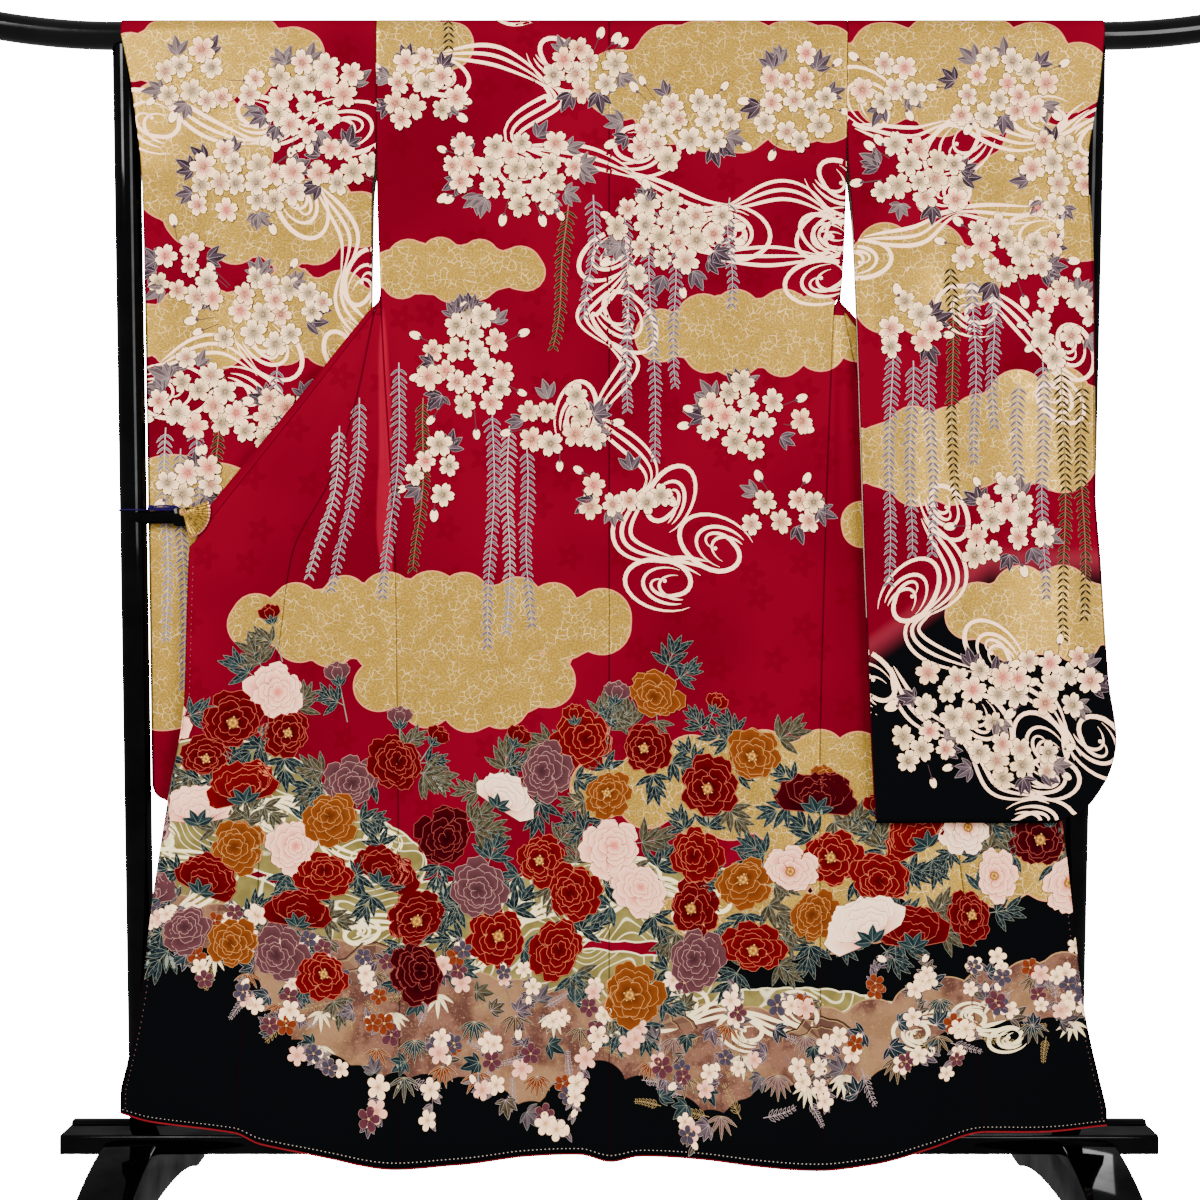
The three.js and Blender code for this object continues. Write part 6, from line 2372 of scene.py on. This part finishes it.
def fan_grid(name, side, turns, reaches, lifts, material, thick):
    """A plate in polar rows, closed front and back. lifts gives how far each point stands forward."""
    rows = np.array([[on_fan(side, reach, turn, up) for turn, up in zip(turns, lift)]
                     for reach, lift in zip(reaches, lifts)])
    normals = np.zeros_like(rows)
    normals[..., 1] = -1
    return new_object(name, *closed_strip(rows, normals, thick), (material,))


def fan(side):
    count = 2 * FAN["ribs"]
    turns = np.radians(np.linspace(22, -74, count + 1))
    pleat = np.where(np.arange(count + 1) % 2, 0.9, 0.0)
    reaches = (4.5, 12, 20, 30, FAN["radius"] - 1.0)
    pieces_here = [fan_grid(f"fan_{side}", side, turns, reaches,
                            [1.0 + pleat * share for share in (0, 0.3, 0.7, 1, 1)], gold_gilt, 0.9)]
    fine = np.radians(np.linspace(22, -74, 4 * count + 1))
    between = np.interp(np.arange(4 * count + 1) / 4, np.arange(count + 1), pleat)
    for low, high, up, material in ((17.5, 21.5, 1.55, gold_gilt), (36.4, 39.0, 1.5, copper)):
        pieces_here.append(fan_grid(f"band_{side}", side, fine, (low, high), [up + between * 0.6] * 2,
                                    material, 0.7))
    for turn in (22, -74):
        spread = np.radians([turn - 2.4, turn + 2.4])
        pieces_here.append(fan_grid(f"guard_{side}", side, spread, (3, 20, 38.6), [(1.7, 1.7)] * 3, gold_gilt,
                                    0.9))
    round_turns = np.radians(np.linspace(0, 350, 24))
    for reach, up, thick in ((5.4, 1.4, 2.0), (3.4, 2.4, 0.8)):
        ring = fan_grid(f"pivot_{side}", side, round_turns, (0.2, reach * 0.7, reach), [[up] * 24] * 3,
                        gold_gilt, thick)
        pieces_here.append(ring)
    spiral = [on_fan(side, reach, turn, 3.0)
              for turn, reach in zip(np.linspace(0, 4.4 * math.pi, 60), np.linspace(0.6, 4.6, 60))]
    pieces_here.append(tube(f"scroll_{side}", spiral, 0.42, copper, 8))
    whole = joined(f"fan_clip_{side}_gilt", pieces_here)
    bpy.ops.object.shade_smooth_by_angle(angle=math.radians(24))
    return whole


def tube(name, path, radius, material, sides=10, closed=False):
    """A round cord along a path, with rounded ends unless it is closed."""
    path = np.array(path, float)
    ahead = np.roll(path, -1, 0) - np.roll(path, 1, 0) if closed else np.gradient(path, axis=0)
    ahead /= np.linalg.norm(ahead, axis=1, keepdims=True)
    up = np.array([0.0, -1.0, 0.0])
    rings_made = []
    for way in ahead:
        up = up - way * (up @ way)
        up /= np.linalg.norm(up)
        aside = np.cross(way, up)
        turns = np.linspace(0, 2 * math.pi, sides, endpoint=False)
        rings_made.append(np.cos(turns)[:, None] * up + np.sin(turns)[:, None] * aside)
    radii = np.full(len(path), float(radius))
    if not closed:
        radii[[0, -1]] *= 0.5
    points = path[:, None] + np.array(rings_made) * radii[:, None, None]
    faces = []
    last = len(path) if closed else len(path) - 1
    for i in range(last):
        j = (i + 1) % len(path)
        for k in range(sides):
            n = (k + 1) % sides
            faces.append((i * sides + k, i * sides + n, j * sides + n, j * sides + k))
    if not closed:
        faces += [list(range(sides))[::-1], [(len(path) - 1) * sides + k for k in range(sides)]]
    piece = new_object(name, points.reshape(-1, 3), faces, (material,))
    shape = bmesh.new()
    shape.from_mesh(piece.data)
    bmesh.ops.recalc_face_normals(shape, faces=shape.faces)
    shape.to_mesh(piece.data)
    shape.free()
    return piece


FAN_SEAT = {}
for side, sign in SIDES.items():
    near, _ = plane_range(sign * (FAN["x"] - FAN["radius"]), sign * (FAN["x"] + FAN["radius"]),
                          FAN["drop"], FAN["drop"] + FAN["radius"])
    FAN_SEAT[side] = near - WALL / 2 - FIT
for side in SIDES:
    stand_for(fan(side), f"fan_clip_{side}")

# %% Cord on the left arm
def twisted(path, spread, turns, strand):
    """One strand of a laid cord: a path that winds round another."""
    path = np.array(path, float)
    ahead = np.gradient(path, axis=0)
    ahead /= np.linalg.norm(ahead, axis=1, keepdims=True)
    up = np.cross(ahead, [0, 1, 0])
    up /= np.maximum(np.linalg.norm(up, axis=1, keepdims=True), 1e-6)
    aside = np.cross(ahead, up)
    angle = np.linspace(0, turns * 2 * math.pi, len(path)) + strand * math.pi
    return path + spread * (np.cos(angle)[:, None] * up + np.sin(angle)[:, None] * aside)


def tie_loop():
    z = RAIL["height"] - ARM["drop"] + ARM["radius"] + 1.6
    centre = (post_x("left", z), 0)
    turns = np.linspace(0, 2 * math.pi, 120, endpoint=False)
    parts = []
    for strand in range(2):
        wind = turns * 26 + strand * math.pi
        reach = POST["radius"] + FIT + 1.2 + 0.5 * np.cos(wind)
        path = np.stack([centre[0] + reach * np.cos(turns), reach * np.sin(turns), z + 0.5 * np.sin(wind)],
                        -1)
        parts.append(tube("strand", path, 0.6, indigo, 8, True))
    return joined("tie_loop_cord", parts)


def tie_bundle():
    z = RAIL["height"] - ARM["drop"] + ARM["radius"] + FIT + 3.2
    start = abs(post_x("left", z)) - POST["radius"] - 4
    share = np.linspace(0, 1, 60)
    spread = 0.55 + 0.45 * np.sin(math.pi * share) ** 0.5
    rng = random.Random(7)
    parts = []
    for y, up in ((-2.6, -1.9), (0, -2.1), (2.6, -1.9), (-1.6, 0.9), (1.6, 0.9), (0, 3.9)):
        sway = rng.uniform(0, 6)
        path = np.stack([-lerp(start, ARM["end"] + 2, share),
                         ARM["y"] + y * spread + 0.25 * np.sin(share * 9 + sway),
                         z + up * spread + 0.2 * np.cos(share * 7 + sway)], -1)
        parts += [tube("strand", twisted(path, 0.62, 10, strand), 0.92, indigo, 6) for strand in range(2)]
    for x in (start - 6, ARM["end"] + 8):
        for k in range(3):
            turns = np.linspace(0, 2 * math.pi, 36, endpoint=False)
            ring = np.stack([np.full(36, -(x + k * 1.3)), ARM["y"] + 3.9 * np.cos(turns),
                             z + 0.9 + 3.7 * np.sin(turns)], -1)
            parts.append(tube("strand", ring, 0.62, indigo, 8, True))
    return joined("tie_bundle_cord", parts)


stand_for(tie_loop(), "tie_loop")
stand_for(tie_bundle(), "tie_bundle")
print("stand done")

# %% [markdown]
# ## The sheets
# The body, okumi and sleeve of each side are looked up among the pieces.

# %% Sheets
for side in SIDES:
    body, okumi, sleeve = (pieces[f"{part}_{side}"] for part in ("body", "okumi", "sleeve"))
